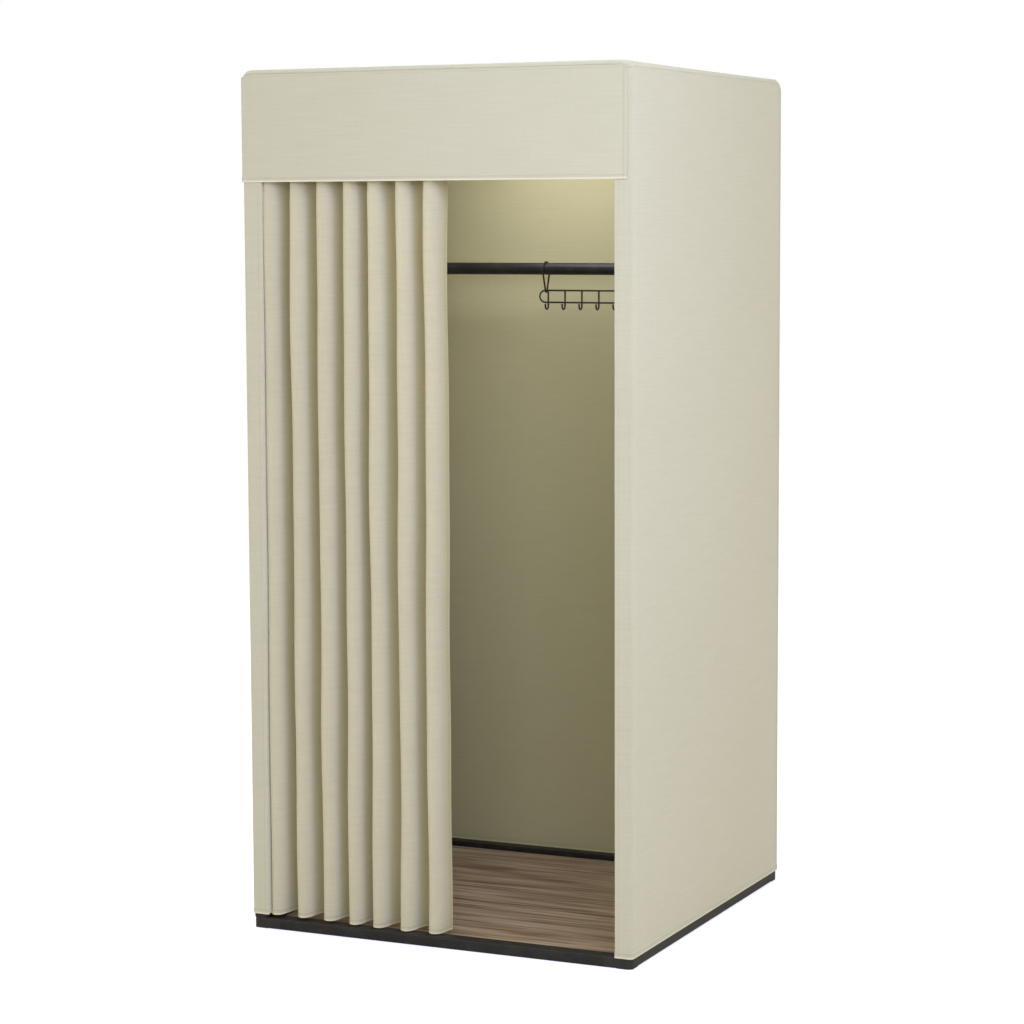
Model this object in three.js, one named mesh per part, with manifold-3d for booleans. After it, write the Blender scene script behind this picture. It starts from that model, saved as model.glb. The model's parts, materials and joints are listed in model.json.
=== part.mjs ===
// Portable fitting room: a cloth-covered tube frame with a front curtain, a clothes rail and a hook rack.
// Millimetres, +Z up. The origin is on the ground, under the centre of the booth. The doorway faces -Y.

import * as THREE from "three";
import { mergeVertices } from "three/addons/utils/BufferGeometryUtils.js";
import { RoundedBoxGeometry } from "three/addons/geometries/RoundedBoxGeometry.js";
import Module from "manifold-3d";

// Booth
const boothWidth = 970;
const boothDepth = 970;
const boothHeight = 2000;
const clearance = 0.3;
const cutOverrun = 5;

// Cover cloth
const clothThickness = 2;
const coverEdgeRadius = 10;
const coverHemHeight = 24;
const roofLipHeight = 10;
const backSeamInset = 14;
const returnLegDepth = 28;
const valanceHeight = 240;
const valanceRightInset = 12;
const valanceCornerRadius = 20;

// Square tubes of the uprights and top rails
const postSize = 36;
const postWall = 1.5;
const postSpigotLength = 60;
const postJointHeight = 1000;
const postSleeveLength = 80;
const postSleeveSeat = 40;
const postSleeveBite = 0.5;

// Screw through each upright joint
const screwRadius = 3;
const screwHeadRadius = 6;
const screwHeadHeight = 3;
const screwReach = 12;
const screwHeightAboveJoint = 40;

// Base frame
const baseWidth = 38;
const baseHeight = 25;
const baseWall = 1.5;
const baseEdgeRadius = 3;
const baseCornerRadius = 12;
const baseCornerLeg = 70;
const baseSpigotLength = 40;

// Floor board
const boardThickness = 12;
const boardClearance = 0.5;
const boardCornerRadius = 4;

// Side braces, clothes rail and its sockets
const braceSize = 25;
const braceWall = 1.5;
const braceEdgeRadius = 3;
const bracePlateThickness = 3;
const bracePlateHeight = 60;
const railBelowRoof = 462;
const railFromBack = 150;
const railRadius = 15;
const railWall = 1.5;
const socketPlateRadius = 22;
const socketPlateThickness = 3;
const socketWall = 2.7;
const socketDepth = 20;

// Curtain rod and its brackets
const rodBelowRoof = 100;
const rodRadius = 9.5;
const rodWall = 1.2;
const rodEndInset = 6;
const bracketPlateThickness = 3;
const bracketPlateHeight = 50;
const cradleWall = 2.5;
const cradleLength = 28;
const cradleLipHeight = 4;

// Curtain rings and their clips
const ringInnerRadius = 14.5;
const ringWireRadius = 1.8;
const clipBridgeHeight = 4;
const clipJawThickness = 1.5;
const clipJawDepth = 12;
const clipWidth = 16;
const clipClothGap = 0.8;

// Curtain folds
const foldCount = 7;
const foldPitch = 67.5;
const foldDepth = 66;
const curtainFrontInset = 14;
const firstRidgeInset = 22.4;
const leadingEdgeShare = 0.13;
const curtainHemHeight = 28;

// Hook rack and its hangers
const rackLeft = -103;
const rackLength = 323;
const rackHeight = 30;
const rackDrop = 54;
const rackWireRadius = 2.2;
const hookCount = 7;
const hookFirstInset = 23.5;
const hookPitch = 46;
const hookRadius = 9;
const hookStemBelow = 8;
const hookTipRise = 5;
const hangerInset = 18;
const hangerLoopRadius = 21;

// Mesh fineness
const cornerSteps = 3;
const hiddenSteps = 2;
const roundSteps = 24;
const ballSteps = 24;
const waveSteps = 28;
const ringSteps = 16;
const wireSides = 6;
const wireArcSteps = 6;
const edgeSteps = 3;

// Places worked out from the sizes
const fullTurn = 2 * Math.PI;
const halfWidth = boothWidth / 2;
const halfDepth = boothDepth / 2;
const clothLayer = clothThickness + clearance;
const frameSide = halfWidth - clothLayer;
const frameFront = -halfDepth + 2 * clothLayer;
const frameBack = halfDepth - clothLayer;
const frameTop = boothHeight - clothLayer;
const postCornerRadius = coverEdgeRadius - clothLayer;
const postX = frameSide - postSize / 2;
const postFrontY = frameFront + postSize / 2;
const postBackY = frameBack - postSize / 2;
const postBallRadius = Math.SQRT2 * (postSize - postCornerRadius) + postCornerRadius;
const coverBallRadius = postBallRadius + clothLayer;
const coverBallInset = postSize + clothLayer;
const topCornerBottom = frameTop - postSize;
const returnFront = -halfDepth + clothLayer;
const returnInnerX = frameSide - postSize - clothLayer;
const seamHeight = boothHeight - roofLipHeight;
const railHeight = boothHeight - railBelowRoof;
const rodHeight = boothHeight - rodBelowRoof;
const braceFront = frameFront + postSize + clearance;
const braceBack = frameBack - postSize - clearance;
const railY = halfDepth - railFromBack;
const braceInnerX = postX - braceSize / 2;
const railHalfLength = braceInnerX - socketPlateThickness - 2 * clearance;
const bracketBack = frameFront + postSize + clearance + bracketPlateThickness;
const rodY = bracketBack + rodRadius + 2 * clearance;
const curtainMidY = -halfDepth + curtainFrontInset + (clothThickness + foldDepth) / 2;
const firstRidgeX = -returnInnerX + firstRidgeInset;
const ringCentreZ = rodHeight + rodRadius + clearance - ringInnerRadius;
const clipBridgeTop = ringCentreZ - ringInnerRadius - ringWireRadius;
const clipBridgeBottom = clipBridgeTop - clipBridgeHeight;
const curtainTop = clipBridgeBottom - clearance;
const rackTopZ = railHeight - rackDrop;
const hangerLoopZ = railHeight + railRadius + clearance + rackWireRadius - hangerLoopRadius;

const wasm = await Module();
wasm.setup();

// Materials of the photographed object: black satin metal and plastic, beige cloth, brown wood, steel
function material(color, roughness, metalness) {
  return new THREE.MeshStandardMaterial({ color, roughness, metalness });
}
const blackMetal = material(0x2b2a29, 0.45, 0.3);
const blackPlastic = material(0x323130, 0.55, 0);
const cloth = material(0xcfcbb8, 0.95, 0);
const curtainCloth = material(0xcdc7b4, 0.95, 0);
const wood = material(0x6a594a, 0.7, 0);
const steel = material(0x9a9a98, 0.35, 0.9);

// A closed solid from a closed geometry, and back
function solid(geometry) {
  const bare = geometry.clone();
  bare.deleteAttribute("normal");
  bare.deleteAttribute("uv");
  const merged = mergeVertices(bare);
  const vertProperties = new Float32Array(merged.attributes.position.array);
  const triVerts = new Uint32Array(merged.index.array);
  return new wasm.Manifold(new wasm.Mesh({ numProp: 3, vertProperties, triVerts }));
}

function geometryOf(body) {
  const { vertProperties, triVerts } = body.getMesh();
  const geometry = new THREE.BufferGeometry();
  geometry.setAttribute("position", new THREE.BufferAttribute(new Float32Array(vertProperties), 3));
  geometry.setIndex(new THREE.BufferAttribute(new Uint32Array(triVerts), 1));
  geometry.computeVertexNormals();
  return geometry;
}

function joined(geometries) {
  return geometries.map(solid).reduce((sum, next) => sum.add(next));
}

// A box between two corners, each [x, y, z]
function block(low, high) {
  const size = high.map((value, i) => value - low[i]);
  const middle = high.map((value, i) => (value + low[i]) / 2);
  return new THREE.BoxGeometry(...size).translate(...middle);
}

function roundedRect(width, height, radius) {
  const shape = new THREE.Shape();
  const x = width / 2 - radius;
  const y = height / 2 - radius;
  shape.absarc(x, y, radius, 0, fullTurn / 4);
  shape.absarc(-x, y, radius, fullTurn / 4, fullTurn / 2);
  shape.absarc(-x, -y, radius, fullTurn / 2, fullTurn * 3 / 4);
  shape.absarc(x, -y, radius, fullTurn * 3 / 4, fullTurn);
  shape.closePath();
  return shape;
}

function circle(radius) {
  return new THREE.Shape().absarc(0, 0, radius, 0, fullTurn);
}

// A prism of an outline, from 0 to its length along an axis
function prism(shape, length, axis = "z", curveSegments = cornerSteps) {
  const geometry = new THREE.ExtrudeGeometry(shape, { depth: length, bevelEnabled: false, curveSegments });
  if (axis === "x") geometry.rotateY(fullTurn / 4);
  if (axis === "y") geometry.rotateX(-fullTurn / 4);
  return geometry;
}

function hollow(outer, inner) {
  outer.holes.push(inner);
  return outer;
}

// Section of the square tube of the uprights and top rails, and of what slides into it
function postSection() {
  const bore = postSize - 2 * postWall;
  const outer = roundedRect(postSize, postSize, postCornerRadius);
  return hollow(outer, roundedRect(bore, bore, postCornerRadius - postWall));
}

function postSpigotSection() {
  const size = postSize - 2 * (postWall + clearance);
  return roundedRect(size, size, postCornerRadius - postWall - clearance);
}

// A wire along points in one plane, with round sections square to the path
function wire(points, planeNormal, radius, closed = false) {
  const positions = [];
  const triangles = [];
  const last = points.length - 1;
  points.forEach((point, i) => {
    const before = closed ? points[(i + last) % (last + 1)] : points[Math.max(i - 1, 0)];
    const after = closed ? points[(i + 1) % (last + 1)] : points[Math.min(i + 1, last)];
    const across = after.clone().sub(before).normalize().cross(planeNormal);
    for (let side = 0; side < wireSides; side += 1) {
      const angle = fullTurn * side / wireSides;
      const place = point.clone();
      place.addScaledVector(across, radius * Math.cos(angle));
      place.addScaledVector(planeNormal, radius * Math.sin(angle));
      positions.push(place.x, place.y, place.z);
    }
  });
  const stretches = closed ? points.length : last;
  for (let i = 0; i < stretches; i += 1) {
    const here = i * wireSides;
    const next = ((i + 1) % points.length) * wireSides;
    for (let side = 0; side < wireSides; side += 1) {
      const turn = (side + 1) % wireSides;
      triangles.push(here + side, next + side, here + turn);
      triangles.push(here + turn, next + side, next + turn);
    }
  }
  if (!closed) {
    const end = last * wireSides;
    for (let side = 1; side < wireSides - 1; side += 1) {
      triangles.push(0, side, side + 1);
      triangles.push(end, end + side + 1, end + side);
    }
  }
  const geometry = new THREE.BufferGeometry();
  geometry.setAttribute("position", new THREE.Float32BufferAttribute(positions, 3));
  geometry.setIndex(triangles);
  return geometry;
}

// Points on an arc in the plane of two unit vectors, from one angle to another
function arc(centre, first, second, radius, from, to, steps = wireArcSteps) {
  return Array.from({ length: steps + 1 }, (_, i) => {
    const angle = from + (to - from) * i / steps;
    const point = centre.clone().addScaledVector(first, radius * Math.cos(angle));
    return point.addScaledVector(second, radius * Math.sin(angle));
  });
}

const booth = new THREE.Group();

function add(name, geometry, look, position, parent = booth) {
  const mesh = new THREE.Mesh(geometry, look);
  mesh.name = name;
  mesh.position.set(...position);
  parent.add(mesh);
  return mesh;
}

// Base corner for +X, +Y: an elbow whose outer corner is at the local origin, with three spigots
function baseCorner() {
  const section = () => roundedRect(baseHeight, baseWidth, baseEdgeRadius);
  const turnedSection = () => roundedRect(baseWidth, baseHeight, baseEdgeRadius);
  const legX = prism(section(), baseCornerLeg, "x");
  legX.translate(-baseCornerLeg, -baseWidth / 2, baseHeight / 2);
  const legY = prism(turnedSection(), baseCornerLeg, "y");
  legY.translate(-baseWidth / 2, -baseCornerLeg, baseHeight / 2);
  const fill = block([-baseWidth, -baseWidth, 0], [-baseWidth / 2, -baseWidth / 2, baseHeight]);
  const footprint = new THREE.Shape();
  footprint.moveTo(-baseCornerLeg, -baseCornerLeg);
  footprint.lineTo(0, -baseCornerLeg);
  footprint.absarc(-baseCornerRadius, -baseCornerRadius, baseCornerRadius, 0, fullTurn / 4);
  footprint.lineTo(-baseCornerLeg, 0);
  footprint.closePath();
  const plan = prism(footprint, baseHeight + 2 * cutOverrun, "z", 2 * cornerSteps);
  plan.translate(0, 0, -cutOverrun);
  const elbow = joined([legX, legY, fill]).intersect(solid(plan));

  const reach = baseSpigotLength + cutOverrun;
  const spigotHeight = baseHeight - 2 * (baseWall + clearance);
  const spigotWidth = baseWidth - 2 * (baseWall + clearance);
  const radius = baseEdgeRadius - baseWall - clearance;
  const spigotX = prism(roundedRect(spigotHeight, spigotWidth, radius), reach, "x", hiddenSteps);
  spigotX.translate(-baseCornerLeg - baseSpigotLength, -baseWidth / 2, baseHeight / 2);
  const spigotY = prism(roundedRect(spigotWidth, spigotHeight, radius), reach, "y", hiddenSteps);
  spigotY.translate(-baseWidth / 2, -baseCornerLeg - baseSpigotLength, baseHeight / 2);
  const spigotUp = prism(postSpigotSection(), postSpigotLength + cutOverrun, "z", hiddenSteps);
  spigotUp.translate(-postSize / 2, -postSize / 2, baseHeight - cutOverrun);
  return geometryOf(elbow.add(joined([spigotX, spigotY, spigotUp])));
}

// A ball with its poles up and down
function ball(radius, centre) {
  const geometry = new THREE.SphereGeometry(radius, ballSteps, ballSteps / 2).rotateX(fullTurn / 4);
  return solid(geometry.translate(...centre));
}

// Top corner for +X, +Y: a rounded block whose outer top corner is at the local origin, with three spigots
function topCorner() {
  const core = block([-postSize, -postSize, -postSize], [0, 0, 0]);
  const size = 3 * postSize;
  const rounding = new RoundedBoxGeometry(size, size, size, edgeSteps, postCornerRadius);
  rounding.translate(-size / 2, -size / 2, -size / 2);
  const cornerBall = ball(postBallRadius, [-postSize, -postSize, -postSize]);
  const body = solid(core).intersect(solid(rounding)).intersect(cornerBall);
  const reach = postSpigotLength + cutOverrun;
  const middle = -postSize / 2;
  const start = -postSize - postSpigotLength;
  const spigots = ["x", "y", "z"].map((axis) => {
    const spigot = prism(postSpigotSection(), reach, axis, hiddenSteps);
    const place = { x: middle, y: middle, z: middle, [axis]: start };
    return spigot.translate(place.x, place.y, place.z);
  });
  return geometryOf(body.add(joined(spigots)));
}

// Mirrors the +X, +Y corner into another quarter without a negative scale
function mirrored(geometry, signX, signY) {
  const copy = geometry.clone().scale(signX, signY, 1);
  if (signX * signY < 0) {
    const index = copy.index.array;
    for (let i = 0; i < index.length; i += 3) {
      [index[i], index[i + 1]] = [index[i + 1], index[i]];
    }
  }
  copy.computeVertexNormals();
  return copy;
}

// Screw bore along Y through the wall that faces the cabin, at the local axis of an upright
function screwBore(height, inward) {
  const bore = prism(circle(screwRadius + clearance), postSize / 2 + cutOverrun, "y", roundSteps / 2);
  bore.translate(0, inward > 0 ? 0 : -postSize / 2 - cutOverrun, height);
  return solid(bore);
}

function lowerUpright(inward) {
  const length = postJointHeight - baseHeight - clearance;
  const sleeveWidth = postSize - 2 * (postWall + clearance);
  const seatWidth = postSize - 2 * (postWall - postSleeveBite);
  const boreWidth = sleeveWidth - 2 * postWall;
  const radius = postCornerRadius - postWall - clearance;
  const tube = prism(postSection(), length);
  const seatSection = roundedRect(seatWidth, seatWidth, postCornerRadius - postWall);
  const seat = prism(seatSection, postSleeveSeat, "z", hiddenSteps);
  seat.translate(0, 0, length - postSleeveSeat);
  const sleeveLength = postSleeveSeat + postSleeveLength;
  const sleeve = prism(roundedRect(sleeveWidth, sleeveWidth, radius), sleeveLength, "z", hiddenSteps);
  sleeve.translate(0, 0, length - postSleeveSeat);
  const bore = prism(roundedRect(boreWidth, boreWidth, radius - postWall), length, "z", hiddenSteps);
  bore.translate(0, 0, length - postSleeveSeat - cutOverrun);
  const screw = screwBore(length + clearance + screwHeightAboveJoint, inward);
  return geometryOf(joined([tube, seat, sleeve]).subtract(solid(bore)).subtract(screw));
}

function upperUpright(inward) {
  const length = topCornerBottom - postJointHeight - 2 * clearance;
  return geometryOf(solid(prism(postSection(), length)).subtract(screwBore(screwHeightAboveJoint, inward)));
}

// Pan-head screw along +Y, its head's underside at the local origin
function jointScrew() {
  const profile = [
    [0, -screwReach],
    [screwRadius, -screwReach],
    [screwRadius, clearance],
    [screwHeadRadius, clearance],
    [screwHeadRadius, clearance + screwHeadHeight / 2],
    [screwHeadRadius / 2, clearance + screwHeadHeight],
    [0, clearance + screwHeadHeight],
  ];
  return lathe(profile, roundSteps / 2);
}

// A solid turned about local Y from [radius, height] pairs that start and end on the axis
function lathe(profile, segments = roundSteps) {
  const points = profile.map(([radius, height]) => new THREE.Vector2(radius, height));
  return geometryOf(solid(new THREE.LatheGeometry(points, segments)));
}

function baseRail(length, axis) {
  const along = (width, height, radius) =>
    axis === "x" ? roundedRect(height, width, radius) : roundedRect(width, height, radius);
  const outer = along(baseWidth, baseHeight, baseEdgeRadius);
  const inner = along(baseWidth - 2 * baseWall, baseHeight - 2 * baseWall, baseEdgeRadius - baseWall);
  return prism(hollow(outer, inner), length, axis);
}

function buildBase() {
  const corner = baseCorner();
  const frontY = frameFront + baseWidth / 2;
  const backY = frameBack - baseWidth / 2;
  const sideX = frameSide - baseWidth / 2;
  const acrossStart = -frameSide + baseCornerLeg + clearance;
  const alongStart = frameFront + baseCornerLeg + clearance;
  const acrossLength = 2 * -acrossStart;
  const alongLength = frameBack - baseCornerLeg - clearance - alongStart;
  const middleZ = baseHeight / 2;
  add("base_front_rail", baseRail(acrossLength, "x"), blackMetal, [acrossStart, frontY, middleZ]);
  add("base_back_rail", baseRail(acrossLength, "x"), blackMetal, [acrossStart, backY, middleZ]);
  add("base_left_rail", baseRail(alongLength, "y"), blackMetal, [-sideX, alongStart, middleZ]);
  add("base_right_rail", baseRail(alongLength, "y"), blackMetal, [sideX, alongStart, middleZ]);
  for (const [name, signX, signY] of corners) {
    const place = [signX * frameSide, signY > 0 ? frameBack : frameFront, 0];
    add(`base_corner_${name}`, mirrored(corner, signX, signY), blackPlastic, place);
  }
  const width = 2 * (frameSide - baseWidth - boardClearance);
  const depth = backY - frontY - baseWidth - 2 * boardClearance;
  const board = prism(roundedRect(width, depth, boardCornerRadius), boardThickness);
  add("floor_board", board, wood, [0, (frontY + backY) / 2, 0]);
}

const corners = [
  ["front_left", -1, -1],
  ["front_right", 1, -1],
  ["back_left", -1, 1],
  ["back_right", 1, 1],
];

function buildUprights() {
  for (const [name, signX, signY] of corners) {
    const x = signX * postX;
    const y = signY > 0 ? postBackY : postFrontY;
    const inward = -signY;
    add(`upright_lower_${name}`, lowerUpright(inward), blackMetal, [x, y, baseHeight + clearance]);
    add(`upright_upper_${name}`, upperUpright(inward), blackMetal, [x, y, postJointHeight + clearance]);
    const screw = add(`upright_screw_${name}`, jointScrew(), steel, [
      x, y + inward * postSize / 2, postJointHeight + clearance + screwHeightAboveJoint,
    ]);
    if (inward < 0) screw.rotation.z = fullTurn / 2;
  }
}

function buildTop() {
  const corner = topCorner();
  const acrossStart = -frameSide + postSize + clearance;
  const alongStart = frameFront + postSize + clearance;
  const alongLength = frameBack - postSize - clearance - alongStart;
  const middleZ = frameTop - postSize / 2;
  const across = () => prism(postSection(), 2 * -acrossStart, "x");
  const along = () => prism(postSection(), alongLength, "y");
  add("top_front_rail", across(), blackMetal, [acrossStart, postFrontY, middleZ]);
  add("top_back_rail", across(), blackMetal, [acrossStart, postBackY, middleZ]);
  add("top_left_rail", along(), blackMetal, [-postX, alongStart, middleZ]);
  add("top_right_rail", along(), blackMetal, [postX, alongStart, middleZ]);
  for (const [name, signX, signY] of corners) {
    const place = [signX * frameSide, signY > 0 ? frameBack : frameFront, frameTop];
    add(`top_corner_${name}`, mirrored(corner, signX, signY), blackPlastic, place);
  }
}

// Horizontal side brace between two uprights, with a plate at each end
function sideBrace() {
  const length = braceBack - braceFront;
  const inner = braceSize - 2 * braceWall;
  const outerSection = roundedRect(braceSize, braceSize, braceEdgeRadius);
  const section = hollow(outerSection, roundedRect(inner, inner, braceEdgeRadius - braceWall));
  const tube = prism(section, length - bracePlateThickness, "y").translate(0, bracePlateThickness / 2, 0);
  const half = [postSize / 2, bracePlateHeight / 2];
  const plateFront = block([-half[0], 0, -half[1]], [half[0], bracePlateThickness, half[1]]);
  const plateBack = plateFront.clone().translate(0, length - bracePlateThickness, 0);
  const vent = prism(circle(inner / 4), length + 2 * cutOverrun, "y", roundSteps / 2);
  vent.translate(0, -cutOverrun, 0);
  return geometryOf(joined([tube, plateFront, plateBack]).subtract(solid(vent)));
}

// Cup that holds one end of the clothes rail, its plate's back at the local origin, opening along +Y
function railSocket() {
  const bore = railRadius + clearance;
  const rim = socketPlateThickness + socketDepth;
  return lathe([
    [0, 0],
    [socketPlateRadius, 0],
    [socketPlateRadius, socketPlateThickness],
    [bore + socketWall, socketPlateThickness],
    [bore + socketWall, rim],
    [bore, rim],
    [bore, socketPlateThickness],
    [0, socketPlateThickness],
  ]);
}

function roundTube(radius, wall, length) {
  return prism(hollow(circle(radius), circle(radius - wall)), length, "x", roundSteps);
}

function buildClothesRail() {
  for (const [side, sign] of [["left", -1], ["right", 1]]) {
    add(`side_brace_${side}`, sideBrace(), blackMetal, [sign * postX, braceFront, railHeight]);
    const socket = add(`rail_socket_${side}`, railSocket(), blackPlastic, [
      sign * (braceInnerX - clearance), railY, railHeight,
    ]);
    socket.rotation.z = sign * fullTurn / 4;
  }
  const rail = roundTube(railRadius, railWall, 2 * railHalfLength);
  add("clothes_rail", rail, blackMetal, [-railHalfLength, railY, railHeight]);
}

// Bracket behind a front upright: a plate and an open cradle for the curtain rod, centred on the rod
function rodBracket() {
  const plateBack = bracketBack - rodY;
  const plateFront = plateBack - bracketPlateThickness;
  const outer = rodRadius + clearance + cradleWall;
  const half = postSize / 2;
  const halfHeight = bracketPlateHeight / 2;
  const halfLength = cradleLength / 2;
  const plate = block([-half, plateFront, -halfHeight], [half, plateBack, halfHeight]);
  const cradle = block([-halfLength, plateFront, -outer], [halfLength, outer, cradleLipHeight]);
  const bore = prism(circle(rodRadius + clearance), cradleLength + 2 * cutOverrun, "x", roundSteps);
  bore.translate(-halfLength - cutOverrun, 0, 0);
  const mouth = block(
    [-halfLength - cutOverrun, -rodRadius - clearance, 0],
    [halfLength + cutOverrun, rodRadius + clearance, cradleLipHeight + cutOverrun],
  );
  return geometryOf(joined([plate, cradle]).subtract(solid(bore)).subtract(solid(mouth)));
}

function buildCurtainRod() {
  const half = frameSide - rodEndInset;
  add("curtain_rod", roundTube(rodRadius, rodWall, 2 * half), blackMetal, [-half, rodY, rodHeight]);
  add("rod_bracket_left", rodBracket(), blackPlastic, [-postX, rodY, rodHeight]);
  add("rod_bracket_right", rodBracket(), blackPlastic, [postX, rodY, rodHeight]);
}

// Place of the curtain's middle line after a number of waves from the first ridge:
// broad ridges and valleys, and flanks that run straight back where they cross the middle
function wavePoint(waves) {
  const angle = fullTurn * waves;
  const x = foldPitch * waves + foldPitch / (2 * fullTurn) * Math.sin(2 * angle);
  return new THREE.Vector2(x, -foldDepth / 2 * Math.cos(angle));
}

function waveSlope(waves) {
  const angle = fullTurn * waves;
  const x = foldPitch * (1 + Math.cos(2 * angle));
  return new THREE.Vector2(x, fullTurn * foldDepth / 2 * Math.sin(angle));
}

// One stretch of the hanging curtain between two counts of waves
function curtainFold(from, to, trimEnd) {
  const start = from + clearance / 2 / waveSlope(from).length();
  const end = trimEnd ? to - clearance / 2 / waveSlope(to).length() : to;
  const steps = Math.round((to - from) * waveSteps);
  const front = [];
  const back = [];
  for (let i = 0; i <= steps; i += 1) {
    const waves = start + (end - start) * i / steps;
    const slope = waveSlope(waves).normalize();
    const across = new THREE.Vector2(slope.y, -slope.x).multiplyScalar(clothThickness / 2);
    const middle = wavePoint(waves);
    front.push(middle.clone().add(across));
    back.unshift(middle.clone().sub(across));
  }
  return prism(new THREE.Shape([...front, ...back]), curtainTop - curtainHemHeight);
}

// Ring on the rod with a clip that straddles the cloth, centred on the ring
function curtainRing() {
  const middleRadius = ringInnerRadius + ringWireRadius;
  const torus = new THREE.TorusGeometry(middleRadius, ringWireRadius, wireSides, ringSteps);
  torus.rotateY(fullTurn / 4);
  const jawInner = clothThickness / 2 + clipClothGap;
  const jawOuter = jawInner + clipJawThickness;
  const middleY = curtainMidY - rodY;
  const front = middleY - clipWidth / 2;
  const back = middleY + clipWidth / 2;
  const top = clipBridgeTop - ringCentreZ;
  const bottom = clipBridgeBottom - ringCentreZ;
  const jaws = block([-jawOuter, front, bottom - clipJawDepth], [jawOuter, back, top]);
  const slot = block(
    [-jawInner, front - cutOverrun, bottom - clipJawDepth - cutOverrun],
    [jawInner, back + cutOverrun, bottom],
  );
  return geometryOf(solid(torus).add(solid(jaws).subtract(solid(slot))));
}

// Ring 0 stays at the left upright; each further ring holds the curtain where a fold's right flank crosses
function ringWaves(number) {
  const quarterWave = 1 / 4;
  return number === 0 ? -quarterWave : number - 1 + quarterWave;
}

function buildCurtain() {
  for (let number = 0; number <= foldCount; number += 1) {
    const x = firstRidgeX + wavePoint(ringWaves(number)).x;
    add(`curtain_ring_${number}`, curtainRing(), steel, [x, rodY, ringCentreZ]);
  }
  for (let number = 1; number <= foldCount; number += 1) {
    const last = number === foldCount;
    const end = ringWaves(number) + (last ? leadingEdgeShare : 0);
    const fold = curtainFold(ringWaves(number - 1), end, !last);
    add(`curtain_fold_${number}`, fold, curtainCloth, [firstRidgeX, curtainMidY, curtainHemHeight]);
  }
}

// Rounds the four top corners of a closed cover body, from the height where the rounding starts
function withBallCorners(body, frontY, startZ, inset) {
  const centreX = halfWidth - coverBallInset;
  const reach = 2 * coverBallRadius;
  const rows = [[frontY + coverBallInset, -reach], [halfDepth - coverBallInset, reach]];
  let rounded = body;
  for (const [centreY, reachY] of rows) {
    for (const reachX of [-reach, reach]) {
      const centre = [Math.sign(reachX) * centreX, centreY, startZ];
      const far = [centre[0] + reachX, centreY + reachY, startZ + reach];
      const low = centre.map((value, i) => Math.min(value, far[i]));
      const high = centre.map((value, i) => Math.max(value, far[i]));
      const outside = solid(block(low, high)).subtract(ball(coverBallRadius - inset, centre));
      rounded = rounded.subtract(outside);
    }
  }
  return rounded;
}

// Roof cloth with its rounded lip, its underside open
function roof() {
  const body = (inset) => {
    const size = [boothWidth - 2 * inset, boothDepth - 2 * inset, boothHeight];
    const box = new RoundedBoxGeometry(...size, edgeSteps, coverEdgeRadius - inset);
    box.translate(0, 0, -boothHeight / 2 - inset);
    return withBallCorners(solid(box), -halfDepth, -coverBallInset, inset);
  };
  const reach = boothWidth + boothDepth;
  const below = block([-reach, -reach, -2 * boothHeight], [reach, reach, -roofLipHeight]);
  return geometryOf(body(0).subtract(solid(below)).subtract(body(clothThickness)));
}

// Wall cloth all round the frame, from hem to seam, before it is cut into its panels
function wallShell() {
  const body = (inset) => {
    const front = returnFront + inset;
    const back = halfDepth - inset;
    const plan = roundedRect(boothWidth - 2 * inset, back - front, coverEdgeRadius - inset);
    const walls = prism(plan, seamHeight - clearance - coverHemHeight);
    walls.translate(0, (front + back) / 2, coverHemHeight);
    return withBallCorners(solid(walls), returnFront, boothHeight - coverBallInset, inset);
  };
  return body(0).subtract(body(clothThickness));
}

// Right side cloth: side wall, front corner, strip across the front upright and its turned-in edge
function sideWall(shell) {
  const seamY = halfDepth - backSeamInset - clearance / 2;
  const panel = block([returnInnerX, -boothDepth, 0], [boothWidth, seamY, boothHeight]);
  const leg = block(
    [returnInnerX, returnFront, baseHeight + clearance],
    [returnInnerX + clothThickness, returnFront + returnLegDepth, topCornerBottom - clearance],
  );
  return geometryOf(shell.intersect(solid(panel)).add(solid(leg)));
}

function backWall(shell) {
  const seamY = halfDepth - backSeamInset + clearance / 2;
  const panel = block([-boothWidth, seamY, 0], [boothWidth, boothDepth, boothHeight]);
  return geometryOf(shell.intersect(solid(panel)));
}

// Front cloth above the doorway, its top corners rounded like the roof's
function valance() {
  const left = -halfWidth;
  const right = halfWidth - valanceRightInset;
  const top = seamHeight - clearance;
  const bottom = seamHeight - valanceHeight;
  const outline = new THREE.Shape();
  const arcZ = top - valanceCornerRadius;
  outline.moveTo(left, bottom);
  outline.lineTo(right, bottom);
  outline.absarc(right - valanceCornerRadius, arcZ, valanceCornerRadius, 0, fullTurn / 4);
  outline.absarc(left + valanceCornerRadius, arcZ, valanceCornerRadius, fullTurn / 4, fullTurn / 2);
  outline.closePath();
  const depth = { depth: clothThickness, bevelEnabled: false, curveSegments: 2 * cornerSteps };
  return new THREE.ExtrudeGeometry(outline, depth).rotateX(fullTurn / 4).translate(0, clothThickness, 0);
}

function buildCover() {
  const shell = wallShell();
  const wall = sideWall(shell);
  add("cover_roof", roof(), cloth, [0, 0, boothHeight]);
  add("cover_left", mirrored(wall, -1, 1), cloth, [0, 0, 0]);
  add("cover_right", wall, cloth, [0, 0, 0]);
  add("cover_back", backWall(shell), cloth, [0, 0, 0]);
  add("valance", valance(), cloth, [0, -halfDepth, 0]);
}

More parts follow.
